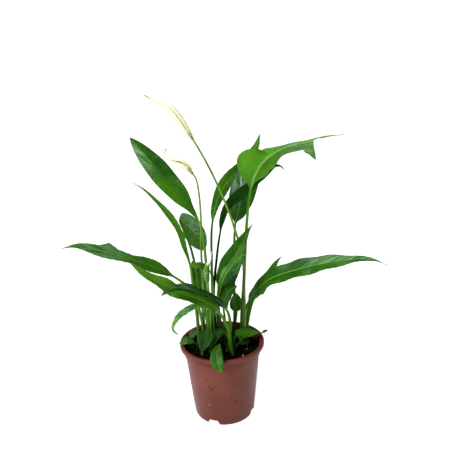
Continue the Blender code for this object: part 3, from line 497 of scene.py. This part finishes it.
def leafSurface(leaf, shape, stalkRings, bladeRings, count):
    # Rings of 2 x count points along a midrib line. On the stalk each ring is a circle; on the blade it
    # is the upper face from the left margin to the right and the lower face back again. At share a of
    # the half-width h the face lies at h|a|cos(fold) sideways and h|a|sin(fold) up, plus a wave that
    # grows with a^2, and swells between the side veins, which run forward from the midrib.
    line = Line(leaf["line"])
    base = line.marks[leaf["blade"]]
    blade = line.length - base
    stalk = np.linspace(-shape["rootDepth"], base, stalkRings, endpoint=False)
    onBlade = np.r_[np.linspace(0, 1, bladeRings + 1)[:-1], shape["lastRing"]]
    s = np.r_[stalk, base + onBlade * blade]
    t = (s - base) / blade
    row = t[:, None]
    inside = np.clip(row, 0, 1)
    middle = line.at(s)
    forward = line.tangent(s)
    face = along(leaf["face"], t)
    up = unit(face - (face * forward).sum(1, keepdims=True) * forward)
    side = np.cross(forward, up)
    thick, thin = leaf["stalk"]
    radius = (thin + (thick - thin) * np.clip(1 - s / base, 0, 1) ** 0.6)[:, None]
    turn = math.pi - (np.arange(2 * count) + 0.5) * tau / (2 * count)

    # reach is |a|, closer together near the midrib; what sits on one margin fades out there
    a = np.linspace(-1, 1, count)
    sign = np.sign(a)
    right = a > 0
    reach = np.abs(a) ** shape["crowding"]
    onEdge = {edge: ease(edge * sign * reach / 0.1) for edge in (-1, 1)}
    half = (spindle(inside, *leaf["outline"]) + thin * 0.8 * (1 - inside) ** 2) * np.ones(count)
    for centre, width, extra, edge in leaf.get("lobes", ()):
        half = half + extra * hump(row, centre, width) * onEdge[edge]
    half = np.maximum(half, shape["narrowest"])
    ahead = np.zeros_like(half)
    for centre, width, push, edge in leaf.get("sweeps", ()):
        ahead = ahead + push * hump(row, centre, width) * onEdge[edge] * reach**2
    folds = [along(degrees, t)[:, None] for degrees in (leaf["fold"], leaf.get("foldRight", leaf["fold"]))]
    fold = np.radians(np.where(a < 0, *folds)) * ease(reach / 0.06 + 0.5)
    # waves that fade towards both ends, and a finer frill on the margins
    height, waves = leaf.get("wave", shape["wave"])
    wave = np.sin(tau * waves * row + leaf.get("phase", 0) + 1.7 * right)
    bell = np.sin(math.pi * inside) ** 0.7
    swell = shape["waveGain"] * height * reach**2 * bell * wave
    frills = blade / shape["frillLength"]
    frill = shape["frillHeight"] * reach**3 * bell * np.sin(tau * frills * row + 2.1 * right)
    # the blade swells between the side veins, and the midrib lies in a groove over a keel
    outward = half * reach
    lean = shape["veinLean"] * outward * (1 + 0.45 * reach)
    veinPhase = (blade * row - lean) / shape["veinGap"] + 0.5 * right
    strength = ease((1 - reach) / 0.12) * ease(reach / 0.12) * ease(row / 0.08)
    strength = strength * ease((1 - row) / 0.06) * np.clip(half / 6, 0, 1)
    quilt = shape["veinDepth"] * strength * np.sqrt(0.5 - 0.5 * np.cos(tau * veinPhase) + 0.02)
    rib = hump(outward, 0, shape["grooveWidth"]) * (1 - inside) ** 0.6
    groove = shape["grooveDepth"] * rib * ease(row / 0.1)
    flatSide = sign * outward * np.cos(fold)
    flatUp = outward * np.sin(fold) + swell + frill + quilt - groove
    thickness = shape["edgeThick"] + (shape["middleThick"] - shape["edgeThick"]) * (1 - reach) ** 0.7
    thickness = thickness * (0.35 + 0.65 * ease((1 - reach) / 0.06)) / 2
    keel = leaf.get("keel", shape["keel"]) * thin * (1 - inside) ** 0.8 * hump(outward, 0, shape["keelWidth"])
    under = thickness + keel
    tilt = fold * sign
    bladeSide = faces(flatSide - thickness * np.sin(tilt), flatSide + under * np.sin(tilt))
    bladeUp = faces(flatUp + thickness * np.cos(tilt), flatUp - under * np.cos(tilt))
    mix = ease(row / 0.12)
    out = radius * np.cos(turn) * (1 - mix) + bladeSide * mix
    lift = radius * np.sin(turn) * (1 - mix) + bladeUp * mix
    rings = placed(middle, side, up, out, lift) + faces(ahead)[:, :, None] * forward[:, None]

    # marks for the leaf's material
    rows = row * np.ones(count)
    speckle = lumps(*np.moveaxis(rings[:, :count], 2, 0), shape["speckle"], 3)
    # halves is painted shade: one half of the blade lighter, the other darker
    tone = leaf["tone"] + 0.12 * speckle + 0.1 * reach + leaf.get("halves", 0) * sign * ease(reach / 0.15)
    dry = leaf.get("dry", 0) * ease((rows - leaf.get("dryFrom", 0.9) + 0.04 * speckle) / 0.07)
    brownTip = 0.55 * ease((rows - 0.985) / 0.015)
    # painted sheen: pale streaks where the leaf would catch the light, on one half or on both
    centre, width, edge, amount = leaf.get("paintedSheen", (0.5, 1, 0, 0))
    onHalf = ease(0.5 + edge * sign * reach / 0.25) if edge else 1
    paintedSheen = amount * hump(rows, centre, width) * onHalf * ease((1 - reach) / 0.2)
    stalkShare = 1 - ease(row / 0.1)
    # painted shade: darker towards the stalk's foot, and over a whole stalk or leaf where stem and dark say
    shade = leaf.get("foot", 0.5) * (1 - ease(s[:, None] / shape["footShade"]))
    marks = {
        "tone": faces(tone),
        "paleAndSheen": faces(leaf.get("paleAndSheen", 0) * (0.6 + 0.4 * speckle) + paintedSheen),
        "yellowing": faces(leaf.get("yellow", 0) * ease((rows - 0.45 + 0.15 * speckle) / 0.35)),
        "dryness": faces(np.maximum(dry, brownTip)),
        "veinPhase": faces(veinPhase),
        "veinStrength": faces(strength),
        "midrib": faces(leaf.get("rib", 0.8) * hump(outward, 0, shape["ribWidth"]) * (1 - 0.6 * rows)),
        "lowerFace": np.maximum(np.repeat([0.0, 1.0], count), leaf.get("bothPale", 0)),
        "along": row,
        "stalk": stalkShare,
        "height": np.clip(s / base, 0, 1)[:, None],
        "shade": shade + leaf.get("dark", 0) + leaf.get("stem", 0) * stalkShare,
        # painted shade down one flank of each stalk
        "shadedFlank": ease((np.cos(turn) + 0.1) / 0.9),
    }
    return rings, marks, middle[0] - 0.5 * forward[0], line.end()


matureLeaf = leafMaterial("Peace_Lily_Leaf", leafColours)
shadedLeaf = leafMaterial("Peace_Lily_Leaf_Matt", leafColours, 0.5, 0.02)  # grown in shade: little sheen


def makeLeaf(name, leaf, rings, count):
    surface, marks, start, tip = leafSurface(leaf, leafShape, *rings, count)
    skin = shadedLeaf if "matt" in leaf else matureLeaf
    return putIn(ringMesh(name + "_fine", surface, skin, marks, start, tip), "leaf", name)


for leafName, leaf in leafTable.items():
    makeLeaf(leafName, leaf, leafShape["rings"], leafShape["across"])
for leafName, leaf in footLeafTable.items():
    makeLeaf(leafName, leaf, leafShape["footRings"], leafShape["footAcross"])
print("leaves done:", len(leafTable) + len(footLeafTable))


# one line through stem, spathe and tail for each bloom, with the part's own sizes
bloomTable = {
    "flower_1": dict(
        line=[(33, 9, 101), (34, 4, 170), (33, 0, 232), (24, -1, 275), (10, -2, 320), (-10, -1, 368),
              (-28, 0, 402), (-36, 0, 415), (-44, 0, 427), (-53, 0, 439), (-68, 0, 447), (-84, 0, 456)],
        head=6, radius=(1.9, 1.2), opening=(0.35, -0.8, -0.3), outline=(5.2, 0.34, 2.3),
        gap=(56, 9, 4, 7), spadix=(22, 3.2)),
    "flower_2": dict(
        line=[(-25, 17, 101), (-25, 14, 133), (-23, 6, 186), (-23, 0, 243), (-21, -3, 292), (-22, -4, 331),
              (-25, -4, 349), (-31, -4, 358), (-38, -4, 366), (-46, -4, 371), (-56, -4, 374), (-64, -4, 380),
              (-60, -4, 389)],
        head=7, radius=(1.8, 1.1), opening=(0.2, -1, 0.2), outline=(4.3, 0.25, 3.2),
        gap=(56, 30, 10, 10), spadix=(15, 2.6)),
}
budTable = dict(
    line=[(-15, -5, 101), (-15, -10, 140), (-14, -15, 175), (-16, -18, 208), (-17, -18, 218), (-16, -18, 230),
          (-11, -18, 241), (-9, -18, 253)],
    head=3, radius=(1.6, 1.2), outline=(3.4, 0.3, 1.6))
bloomShape = {
    "stemRings": 90, "stemSides": 20, "spatheRings": 110, "spatheSides": 40, "petalThick": 0.55,
    "spadixRows": 96, "spadixSides": 48, "floretsRound": 12, "floretRows": 15, "floretRelief": 0.12,
    "budRings": 80, "budSides": 32, "depth": 15.0,
}
bloomColours = {
    "stem": "#6c9330", "stemDark": "#4a6f1f", "spathe": "#f9f8cf", "spatheGreen": "#9aa558",
    "spadix": "#f6f2cc", "spadixDark": "#d6cf8e", "bud": "#427816", "budPale": "#f4f7e4",
}


def stemMaterial():
    # smooth flower stalk: waxy green, mottled along its length
    made, tree, shader = newMaterial("Peace_Lily_Flower_Stalk")
    mottle = spread(tree, grain(tree, 6, 3, (1, 1, 0.25)), 0.35, 0.65)
    skin = blend(tree, mottle, bloomColours["stem"], bloomColours["stemDark"])
    fill(tree, shader, {"Base Color": skin, "Roughness": 0.42, "Specular IOR Level": 0.12})
    return made


def tintedMaterial(name, main, other, label, roughness, sizeMm):
    # soft petal or spike: its second colour comes in where the piece's own tint says
    made, tree, shader = newMaterial(name)
    mottle = spread(tree, grain(tree, sizeMm, 3), 0.3, 0.7, -0.15, 0.15)
    amount = plus(tree, reading(tree, label), mottle, clamp=True)
    skin = blend(tree, amount, bloomColours[main], bloomColours[other])
    fill(tree, shader, {"Base Color": skin, "Roughness": roughness, "Specular IOR Level": 0.25})
    return made


stalkSkin = stemMaterial()
spatheSkin = tintedMaterial("Peace_Lily_Spathe", "spathe", "spatheGreen", "greening", 0.5, 3)
spadixSkin = tintedMaterial("Peace_Lily_Spadix", "spadix", "spadixDark", "hollow", 0.65, 1.5)
budSkin = tintedMaterial("Peace_Lily_Bud", "bud", "budPale", "strip", 0.5, 3)


def circles(line, s, radii):
    # rings square to the line, a radius for each point: centre + r cos(turn) side + r sin(turn) other
    forward = line.tangent(s)
    side = unit(np.cross(forward, (0.3, 1.0, 0.2)))
    turn = turns(radii.shape[1])
    return placed(line.at(s), side, np.cross(forward, side), radii * np.cos(turn), radii * np.sin(turn))


def makeStem(name, bloom):
    # a tube whose radius falls evenly from the soil to the head, with three faint ribs
    line = Line(bloom["line"])
    end = line.marks[bloom["head"]]
    s = np.linspace(-bloomShape["depth"], end, bloomShape["stemRings"])
    thick, thin = bloom["radius"]
    ribs = 1 + 0.03 * np.cos(3 * turns(bloomShape["stemSides"]))
    radius = (thick + (thin - thick) * np.clip(s / end, 0, 1))[:, None] * ribs
    return putIn(ringMesh(name + "_fine", circles(line, s, radius), stalkSkin), "flower_stem", name)


def makeSpathe(name, bloom):
    # rings shaped like a C: at turn v the wall is r(t) from the line, rolled out at both lips,
    # with r falling from the belly to a thin tail
    line = Line(bloom["line"])
    base = line.marks[bloom["head"]]
    length = line.length - base
    s = np.r_[-4.0, -2.0, np.linspace(0, 0.995, bloomShape["spatheRings"]) ** 1.1 * length]
    t = np.clip(s / length, 0, 1)
    row = t[:, None]
    forward = line.tangent(base + s)
    opening = np.asarray(bloom["opening"], float)
    openWay = unit(opening - (forward @ opening)[:, None] * forward)
    swell = spindle(t, *bloom["outline"])
    inner = np.maximum((bloom["radius"][1] + 0.5) * (1 - ease(t / 0.2)) + swell, 0.3)
    gap = np.radians(along(bloom["gap"], t))[:, None]
    v = np.linspace(0, 1, bloomShape["spatheSides"])
    fromBack = np.abs(2 * v - 1)
    turn = faces(gap / 2 + v * (tau - gap))
    lip = ease((fromBack - 0.75) / 0.25)
    veins = 0.12 * np.sin(math.pi * row) * np.cos(14 * math.pi * v)
    wall = inner[:, None] * (1 + 0.12 * lip) + veins
    thick = bloomShape["petalThick"] * (1 - 0.6 * lip) * (0.6 + 0.4 * (1 - row))
    wide = faces(wall + thick + 0.25, wall + 0.25)
    rings = placed(line.at(base + s), openWay, np.cross(forward, openWay),
                   wide * np.cos(turn), wide * np.sin(turn))
    back = np.r_[1 - fromBack, 0 * v]
    greening = 0.9 * ease((row - 0.7) / 0.3) ** 2 + 0.08 * np.r_[lip, lip[::-1]] + 0.12 * back**4
    greening = greening + 0.45 * (1 - ease(row / 0.14))
    thing = ringMesh(name + "_fine", rings, spatheSkin, {"greening": np.clip(greening, 0, 1)})
    return putIn(thing, "spathe", name)


def makeSpadix(name, bloom):
    # a spindle covered in florets: r(t) (1 + relief |sin(row)| |cos(turn)|), both to the power 0.6, with
    # every second row turned half a step
    line = Line(bloom["line"])
    length, girth = bloom["spadix"]
    t = np.linspace(0, 1, bloomShape["spadixRows"])
    s = line.marks[bloom["head"]] + 0.3 + t * (length + 5)
    swell = ease((t - 0.08) / 0.25) * np.sqrt(np.clip(1 - ((t - 0.35) / 0.68) ** 4, 0.02, 1))
    wide = 0.7 + (girth - 0.7) * swell
    turn = turns(bloomShape["spadixSides"])
    row = t * bloomShape["floretRows"]
    shift = np.floor(row) % 2 * math.pi / bloomShape["floretsRound"]
    knob = np.abs(np.sin(math.pi * row))[:, None] ** 0.6
    knob = knob * np.abs(np.cos((turn + shift[:, None]) * bloomShape["floretsRound"] / 2)) ** 0.6
    grow = ease((t - 0.12) / 0.08)[:, None]
    radius = wide[:, None] * (1 + bloomShape["floretRelief"] * (knob - 0.4) * grow)
    # painted shade: the hollows between florets are coloured darker
    thing = ringMesh(name + "_fine", circles(line, s, radius), spadixSkin,
                     {"hollow": np.clip(0.9 - knob, 0, 1) * grow})
    return putIn(thing, "spadix", name)


def makeBud():
    # a closed spindle, its rolled edge a low step that winds half a turn up it
    line = Line(budTable["line"])
    base = line.marks[budTable["head"]]
    s = np.linspace(base + 0.3, line.length - 0.4, bloomShape["budRings"])
    t = (s - base) / (line.length - base)
    wide = np.maximum(budTable["radius"][1] * (1 - t) + spindle(t, *budTable["outline"]), 0.5)
    turn = turns(bloomShape["budSides"])
    around = (turn - math.pi * t[:, None] - 4.2) % tau / tau
    radius = wide[:, None] * (1 - 0.08 * around)
    strip = 0.2 * hump(around, 0.12, 0.1) + ease((t[:, None] - 0.52) / 0.2)
    thing = ringMesh("bud_spathe_fine", circles(line, s, radius), budSkin, {"strip": strip},
                     tip=line.end())
    return putIn(thing, "bud", "bud_spathe")


for flower, bloom in bloomTable.items():
    makeStem(flower + "_stem", bloom)
    makeSpathe(flower + "_spathe", bloom)
    makeSpadix(flower + "_spadix", bloom)
makeStem("bud_stem", budTable)
makeBud()
print("blooms done")


# lip, collar, taper and foot of the moulded pot, in mm
potShape = {
    "radius": 60.0, "height": 112.0, "lipWidth": 4.6, "lipHeight": 6.0, "collarRadius": 54.4,
    "collarHeight": 13.0, "step": 1.8, "footRadius": 43.0, "footRound": 6.0, "wall": 1.3,
    "channelHeight": 9.4, "standRadius": 24.0, "notches": 4, "notchHeight": 8.2, "notchTop": 12.5,
    "notchBottom": 20.5, "firstNotch": -113, "steps": 192, "gap": 0.3, "soilTop": 101.0, "soilLump": 1.6,
}
lipFoot = potShape["height"] - potShape["lipHeight"]
collarFoot = lipFoot - potShape["collarHeight"]
# foot is the colour of the painted shade towards the pot's foot
potColours = {
    "clay": "#602b20", "clayDark": "#51241b", "clayPale": "#743c2e", "foot": "#44180e", "soil": "#20150f",
}


def potMaterial():
    # terracotta-coloured polypropylene, injection moulded: satin, with handling marks and dried soil
    made, tree, shader = newMaterial("Terracotta_Polypropylene")
    cloud = grain(tree, 40, 3)
    clay = blend(tree, spread(tree, cloud, 0.35, 0.65, 0, 0.6), potColours["clay"], potColours["clayPale"])
    clay = blend(tree, spread(tree, grain(tree, 14, 3), 0.5, 0.8, 0, 0.4), clay, potColours["clayDark"])
    clay = blend(tree, spread(tree, grain(tree, 1.6, 1), 0.74, 0.8, 0, 0.35), clay, potColours["soil"])
    # painted shade: a little darker towards the foot, whatever the light
    place = add(tree, "ShaderNodeTexCoord").outputs["Object"]
    height = add(tree, "ShaderNodeSeparateXYZ", {"Vector": place}).outputs["Z"]
    clay = blend(tree, spread(tree, height, 0.07, 0.0, 0, 0.45), clay, potColours["foot"])
    fill(tree, shader, {"Base Color": clay, "Roughness": spread(tree, cloud, 0.3, 0.7, 0.36, 0.5),
                        "IOR": 1.49, "Specular IOR Level": 0.2,
                        "Normal": relief(tree, grain(tree, 1.2, 2), 0.08, 0.0004)})
    return made


def rounded(corners):
    # a profile of (radius, height, rounding): each corner becomes a quadratic arc of that reach
    places = np.array(corners, float)[:, :2]
    u = np.linspace(0, 1, 7)[:, None]
    points = []
    for i, here in enumerate(places):
        bend = corners[i][2]
        if bend == 0:
            points.append(here[None])
            continue
        ways = places[[i - 1, i + 1]] - here
        first, second = here + ways * np.minimum(0.45, bend / np.linalg.norm(ways, axis=1))[:, None]
        points.append((1 - u) ** 2 * first + 2 * u * (1 - u) * here + u**2 * second)
    return np.vstack(points)


def revolved(profile, steps):
    # each (r, z) of the profile swept round the axis: x = r cos(turn), y = r sin(turn)
    turn = turns(steps)
    r, z = profile[:, 0, None], profile[:, 1, None]
    return np.stack([r * np.cos(turn), r * np.sin(turn), z + 0 * turn], 2)


def wallRadius(z):
    # the wall's outside runs straight from the foot ring to the collar's foot
    p = potShape
    return p["footRadius"] + (p["collarRadius"] - p["step"] - p["footRadius"]) * z / collarFoot


def makePot():
    # the shell's profile, from the middle of its inside up, over the lip, down the outside and under;
    # then notches, each a block from the channel out through the foot ring, are cut from it
    p = potShape
    wall, radius, collar, stand = p["wall"], p["radius"], p["collarRadius"], p["standRadius"]
    roof = p["channelHeight"]
    floor = roof + wall
    channel = stand + 2
    foot = wallRadius(0)
    under = wallRadius(roof) - wall
    corners = [
        (0.01, wall, 0), (stand - 1, wall, 0.8), (channel - 1, floor, 0.8),
        (wallRadius(floor) - wall, floor, 1.5), (wallRadius(collarFoot) - wall, collarFoot, 0.8),
        (collar - wall - 0.4, collarFoot + 1.5, 0.8), (collar - wall, lipFoot, 1.0),
        (radius - p["lipWidth"], p["height"] - 0.2, 1.0), (radius - 0.2, p["height"], 1.3),
        (radius, lipFoot + 0.6, 0.8), (radius - 1.4, lipFoot - 0.1, 0.5), (collar, lipFoot - 0.5, 0.6),
        (collar - 0.5, collarFoot + 0.6, 0.9), (wallRadius(collarFoot), collarFoot - 0.6, 0.6),
        (foot, 0, p["footRound"]), (foot - p["footRound"] - wall, 0, 0.5),
        (under - 1.2, roof * 0.7, 0.8), (under - 1.6, roof, 0.6), (channel, roof, 0.8), (stand, 0, 0.5),
        (0.01, 0, 0),
    ]
    pot = ringMesh("pot_fine", revolved(rounded(corners), p["steps"]), potSkin)
    low, high, top = p["notchBottom"] / 2, p["notchTop"] / 2, p["notchHeight"]
    outline = np.array([(-low, -1), (low, -1), (high, top), (-high, top)])
    r = np.array([[stand + 10], [p["footRadius"] + 5]])
    y, z = outline[:, 0], outline[:, 1] + 0 * r
    for number in range(p["notches"]):
        angle = math.radians(p["firstNotch"]) + number * tau / p["notches"]
        box = np.stack([r * math.cos(angle) - y * math.sin(angle),
                        r * math.sin(angle) + y * math.cos(angle), z], 2)
        caps = [(3, 2, 1, 0), (4, 5, 6, 7)]
        cutter = buildMesh("notch", box, tubeFaces(2, 4), caps, potSkin)
        cut = pot.modifiers.new("Notch", "BOOLEAN")
        cut.object = cutter
        cut.solver = "EXACT"
        baked = bpy.data.meshes.new_from_object(pot.evaluated_get(bpy.context.evaluated_depsgraph_get()))
        pot.modifiers.clear()
        pot.data = baked
        bpy.data.objects.remove(cutter)
    pot.data.set_sharp_from_angle(angle=math.radians(40))
    return putIn(pot, "pot", "pot")


potSkin = potMaterial()
makePot()
print("pot done")


soilShape = {
    "steps": 220, "rings": 90, "crumbs": 620, "crumbSize": (0.5, 2.3), "crumbRing": 51.5, "seed": 11,
    "lumpSeed": 12, "roughness": ((1, 0.9, 7), (2, 0.6, 3), (4, 0.35, 1.5)),
}
soilColours = {
    "dark": "#050403", "brown": "#140f0b", "fibre": "#3a2c1e", "perlite": "#cfc6b8", "bark": "#8a6f55",
}


def soilMaterial():
    # damp peat mix: nearly black, with brown crumbs and fibres
    made, tree, shader = newMaterial("Damp_Peat_Mix")
    crumb = grain(tree, 2.4, 4)
    earth = blend(tree, spread(tree, crumb, 0.4, 0.75), soilColours["dark"], soilColours["brown"])
    earth = blend(tree, spread(tree, grain(tree, 9, 3), 0.62, 0.8, 0, 0.35), earth, soilColours["fibre"])
    fill(tree, shader, {"Base Color": earth, "Roughness": 0.93, "Specular IOR Level": 0.05,
                        "Normal": relief(tree, crumb, 0.7, 0.0012)})
    return made


def soilHeight(x, y):
    # three crossing waves, then crumbs of three sizes
    wave = np.sin(x * 0.21 + 1) * np.cos(y * 0.19) + 0.6 * np.sin(x * 0.11 - y * 0.31 + 2)
    wave = wave + 0.5 * np.cos(x * 0.37 + y * 0.27)
    rough = 0
    for seed, height, size in soilShape["roughness"]:
        rough = rough + height * lumps(x, y, 0 * x, size, seed)
    return potShape["soilTop"] + potShape["soilLump"] * 0.5 * wave + rough


def makeSoil():
    # rings up the side of a plug, then in over its lumpy top
    p = potShape
    stand, gap = p["standRadius"], p["gap"]
    inset = p["wall"] + gap
    floor = p["channelHeight"] + p["wall"] + gap
    side = np.array([(stand - 1 - gap, inset), (stand + 1 - gap, floor),
                     (wallRadius(floor) - p["wall"] - gap, floor),
                     (wallRadius(collarFoot) - p["wall"] - gap, collarFoot)])
    turn = turns(soilShape["steps"])
    edge = p["collarRadius"] - p["wall"] - 0.7 - gap
    radius = np.linspace(edge, 0.4, soilShape["rings"])[:, None]
    x = radius * np.cos(turn)
    y = radius * np.sin(turn)
    rings = np.concatenate([revolved(side, len(turn)), np.stack([x, y, soilHeight(x, y)], 2)])
    return putIn(ringMesh("soil_fine", rings, earthSkin), "soil", "soil")


def crumbCloud(name, places, sizes, finish, seed):
    # each crumb is an eight-cornered lump: a cube's corners pushed in and out by chance, then turned
    rng = np.random.default_rng(seed)
    corner = np.array([(x, y, z) for z in (-1, 1) for x, y in ((-1, -1), (1, -1), (1, 1), (-1, 1))], float)
    pushed = corner * rng.uniform(0.35, 0.75, (len(places), 8, 3))
    spin = np.linalg.qr(rng.normal(size=(len(places), 3, 3)))[0]
    spin = spin * np.sign(np.linalg.det(spin))[:, None, None]
    points = np.einsum("nij,nkj->nki", spin, pushed) * sizes[:, None, None] + places[:, None]
    quad = np.array([(3, 2, 1, 0), (4, 5, 6, 7), (0, 1, 5, 4), (1, 2, 6, 5), (2, 3, 7, 6), (3, 0, 4, 7)])
    quads = (quad + 8 * np.arange(len(places))[:, None, None]).reshape(-1, 4)
    return buildMesh(name, points, quads, [], finish, smooth=False)


def makeCrumbs():
    # loose crumbs strewn evenly over the soil, most of them small
    rng = np.random.default_rng(soilShape["seed"])
    count = soilShape["crumbs"]
    r = soilShape["crumbRing"] * np.sqrt(rng.random(count))
    angle = rng.random(count) * tau
    x, y = r * np.cos(angle), r * np.sin(angle)
    low, high = soilShape["crumbSize"]
    size = low + (high - low) * rng.random(count) ** 2.5
    places = np.stack([x, y, soilHeight(x, y) + 0.25 * size], 1)
    return putIn(crumbCloud("soil_crumbs", places, size, earthSkin, soilShape["lumpSeed"]), "soil")


def grainMaterial():
    # expanded perlite and dry bark: off-white, chalky
    made, tree, shader = newMaterial("Perlite_And_Bark")
    patches = spread(tree, grain(tree, 1.5, 2), 0.35, 0.65)
    skin = blend(tree, patches, soilColours["perlite"], soilColours["bark"])
    fill(tree, shader, {"Base Color": skin, "Roughness": 0.9, "Specular IOR Level": 0.1})
    return made


splashTable = {
    "seed": 8, "front": 8, "back": 4, "frontTurn": (-145, -60), "backTurn": (0, 180),
    "height": (22, 90), "size": (0.8, 1.4), "grains": 8, "grainRing": (26, 47), "grainSize": (1.2, 2.2),
    "speckSeed": 5, "grainSeed": 6,
}


def makeSpecks():
    # soil splashed on the wall, more of it on one side, and pale grains in the soil: turn, height and
    # size each drawn evenly from a fixed seed; the first speck on the wall is a pale one
    p = splashTable
    rng = np.random.default_rng(p["seed"])
    turn = np.radians(np.r_[rng.uniform(*p["frontTurn"], p["front"]), rng.uniform(*p["backTurn"], p["back"])])
    height = rng.uniform(*p["height"], len(turn))
    size = rng.uniform(*p["size"], len(turn))
    reach = wallRadius(height) + 0.1
    places = np.stack([reach * np.cos(turn), reach * np.sin(turn), height], 1)
    putIn(crumbCloud("pot_specks", places[1:], size[1:], earthSkin, p["speckSeed"]), "soil")
    turn = rng.uniform(0, tau, p["grains"])
    reach = rng.uniform(*p["grainRing"], p["grains"])
    x, y = reach * np.cos(turn), reach * np.sin(turn)
    places = np.vstack([places[:1], np.stack([x, y, soilHeight(x, y) + 0.6], 1)])
    sizes = np.r_[size[0], rng.uniform(*p["grainSize"], p["grains"])]
    return putIn(crumbCloud("pale_grains", places, sizes, grainMaterial(), p["grainSeed"]), "soil")


earthSkin = soilMaterial()
makeSoil()
makeCrumbs()
makeSpecks()
print("soil done")


studio = {
    "focal": 43.71, "place": (0, -0.7053, 0.4938), "pitch": 16.816, "yaw": -1.024, "roll": -2.21,
    "floor": "#8a8a8a", "floorReach": 9000.0, "floorHeight": -0.05, "glow": 0.98, "horizon": 1.03,
    "overhead": 0.06,
    "lights": (("key", 4.2, 25, (42, 0, -52)), ("fill", 0.25, 60, (55, 0, 50))),
}


def makeStudio():
    camera = newObject("camera", bpy.data.cameras.new("camera"))
    camera.data.lens = studio["focal"]
    camera.data.sensor_width = 36
    camera.data.clip_start = 0.01
    turned = (Matrix.Rotation(math.radians(studio["yaw"]), 4, "Z")
              @ Matrix.Rotation(math.radians(90 - studio["pitch"]), 4, "X")
              @ Matrix.Rotation(math.radians(studio["roll"]), 4, "Z"))
    camera.matrix_world = Matrix.Translation(studio["place"]) @ turned
    bpy.context.scene.camera = camera

    # the floor glows too, so that it reads as white, and shows no shadow of the pot
    paper, tree, shader = newMaterial("White_Studio_Paper")
    fill(tree, shader, {"Base Color": (*linear(studio["floor"]), 1), "Roughness": 0.95,
                        "Specular IOR Level": 0.0, "Emission Color": (1, 1, 1, 1),
                        "Emission Strength": studio["glow"]})
    r, z = studio["floorReach"], studio["floorHeight"]
    corners = [(-r, -r, z), (r, -r, z), (r, r, z), (-r, r, z)]
    floor = buildMesh("floor", corners, np.array([(0, 1, 2, 3)]), [], paper, smooth=False)

    # white paper all round, and a dimmer ceiling
    world = bpy.data.worlds.new("studio")
    bpy.context.scene.world = world
    world.use_nodes = True
    tree = world.node_tree
    way = add(tree, "ShaderNodeTexCoord").outputs["Generated"]
    rise = add(tree, "ShaderNodeSeparateXYZ", {"Vector": way}).outputs["Z"]
    strength = spread(tree, rise, 0.12, 0.2, studio["horizon"], studio["overhead"])
    fill(tree, tree.nodes["Background"], {"Color": (1, 1, 1, 1), "Strength": strength})

    for name, power, angle, turn in studio["lights"]:
        light = newObject(name, bpy.data.lights.new(name, "SUN"))
        light.data.energy = power
        light.data.angle = math.radians(angle)
        light.rotation_euler = [math.radians(a) for a in turn]
    bpy.context.scene.view_settings.view_transform = "Standard"


makeStudio()
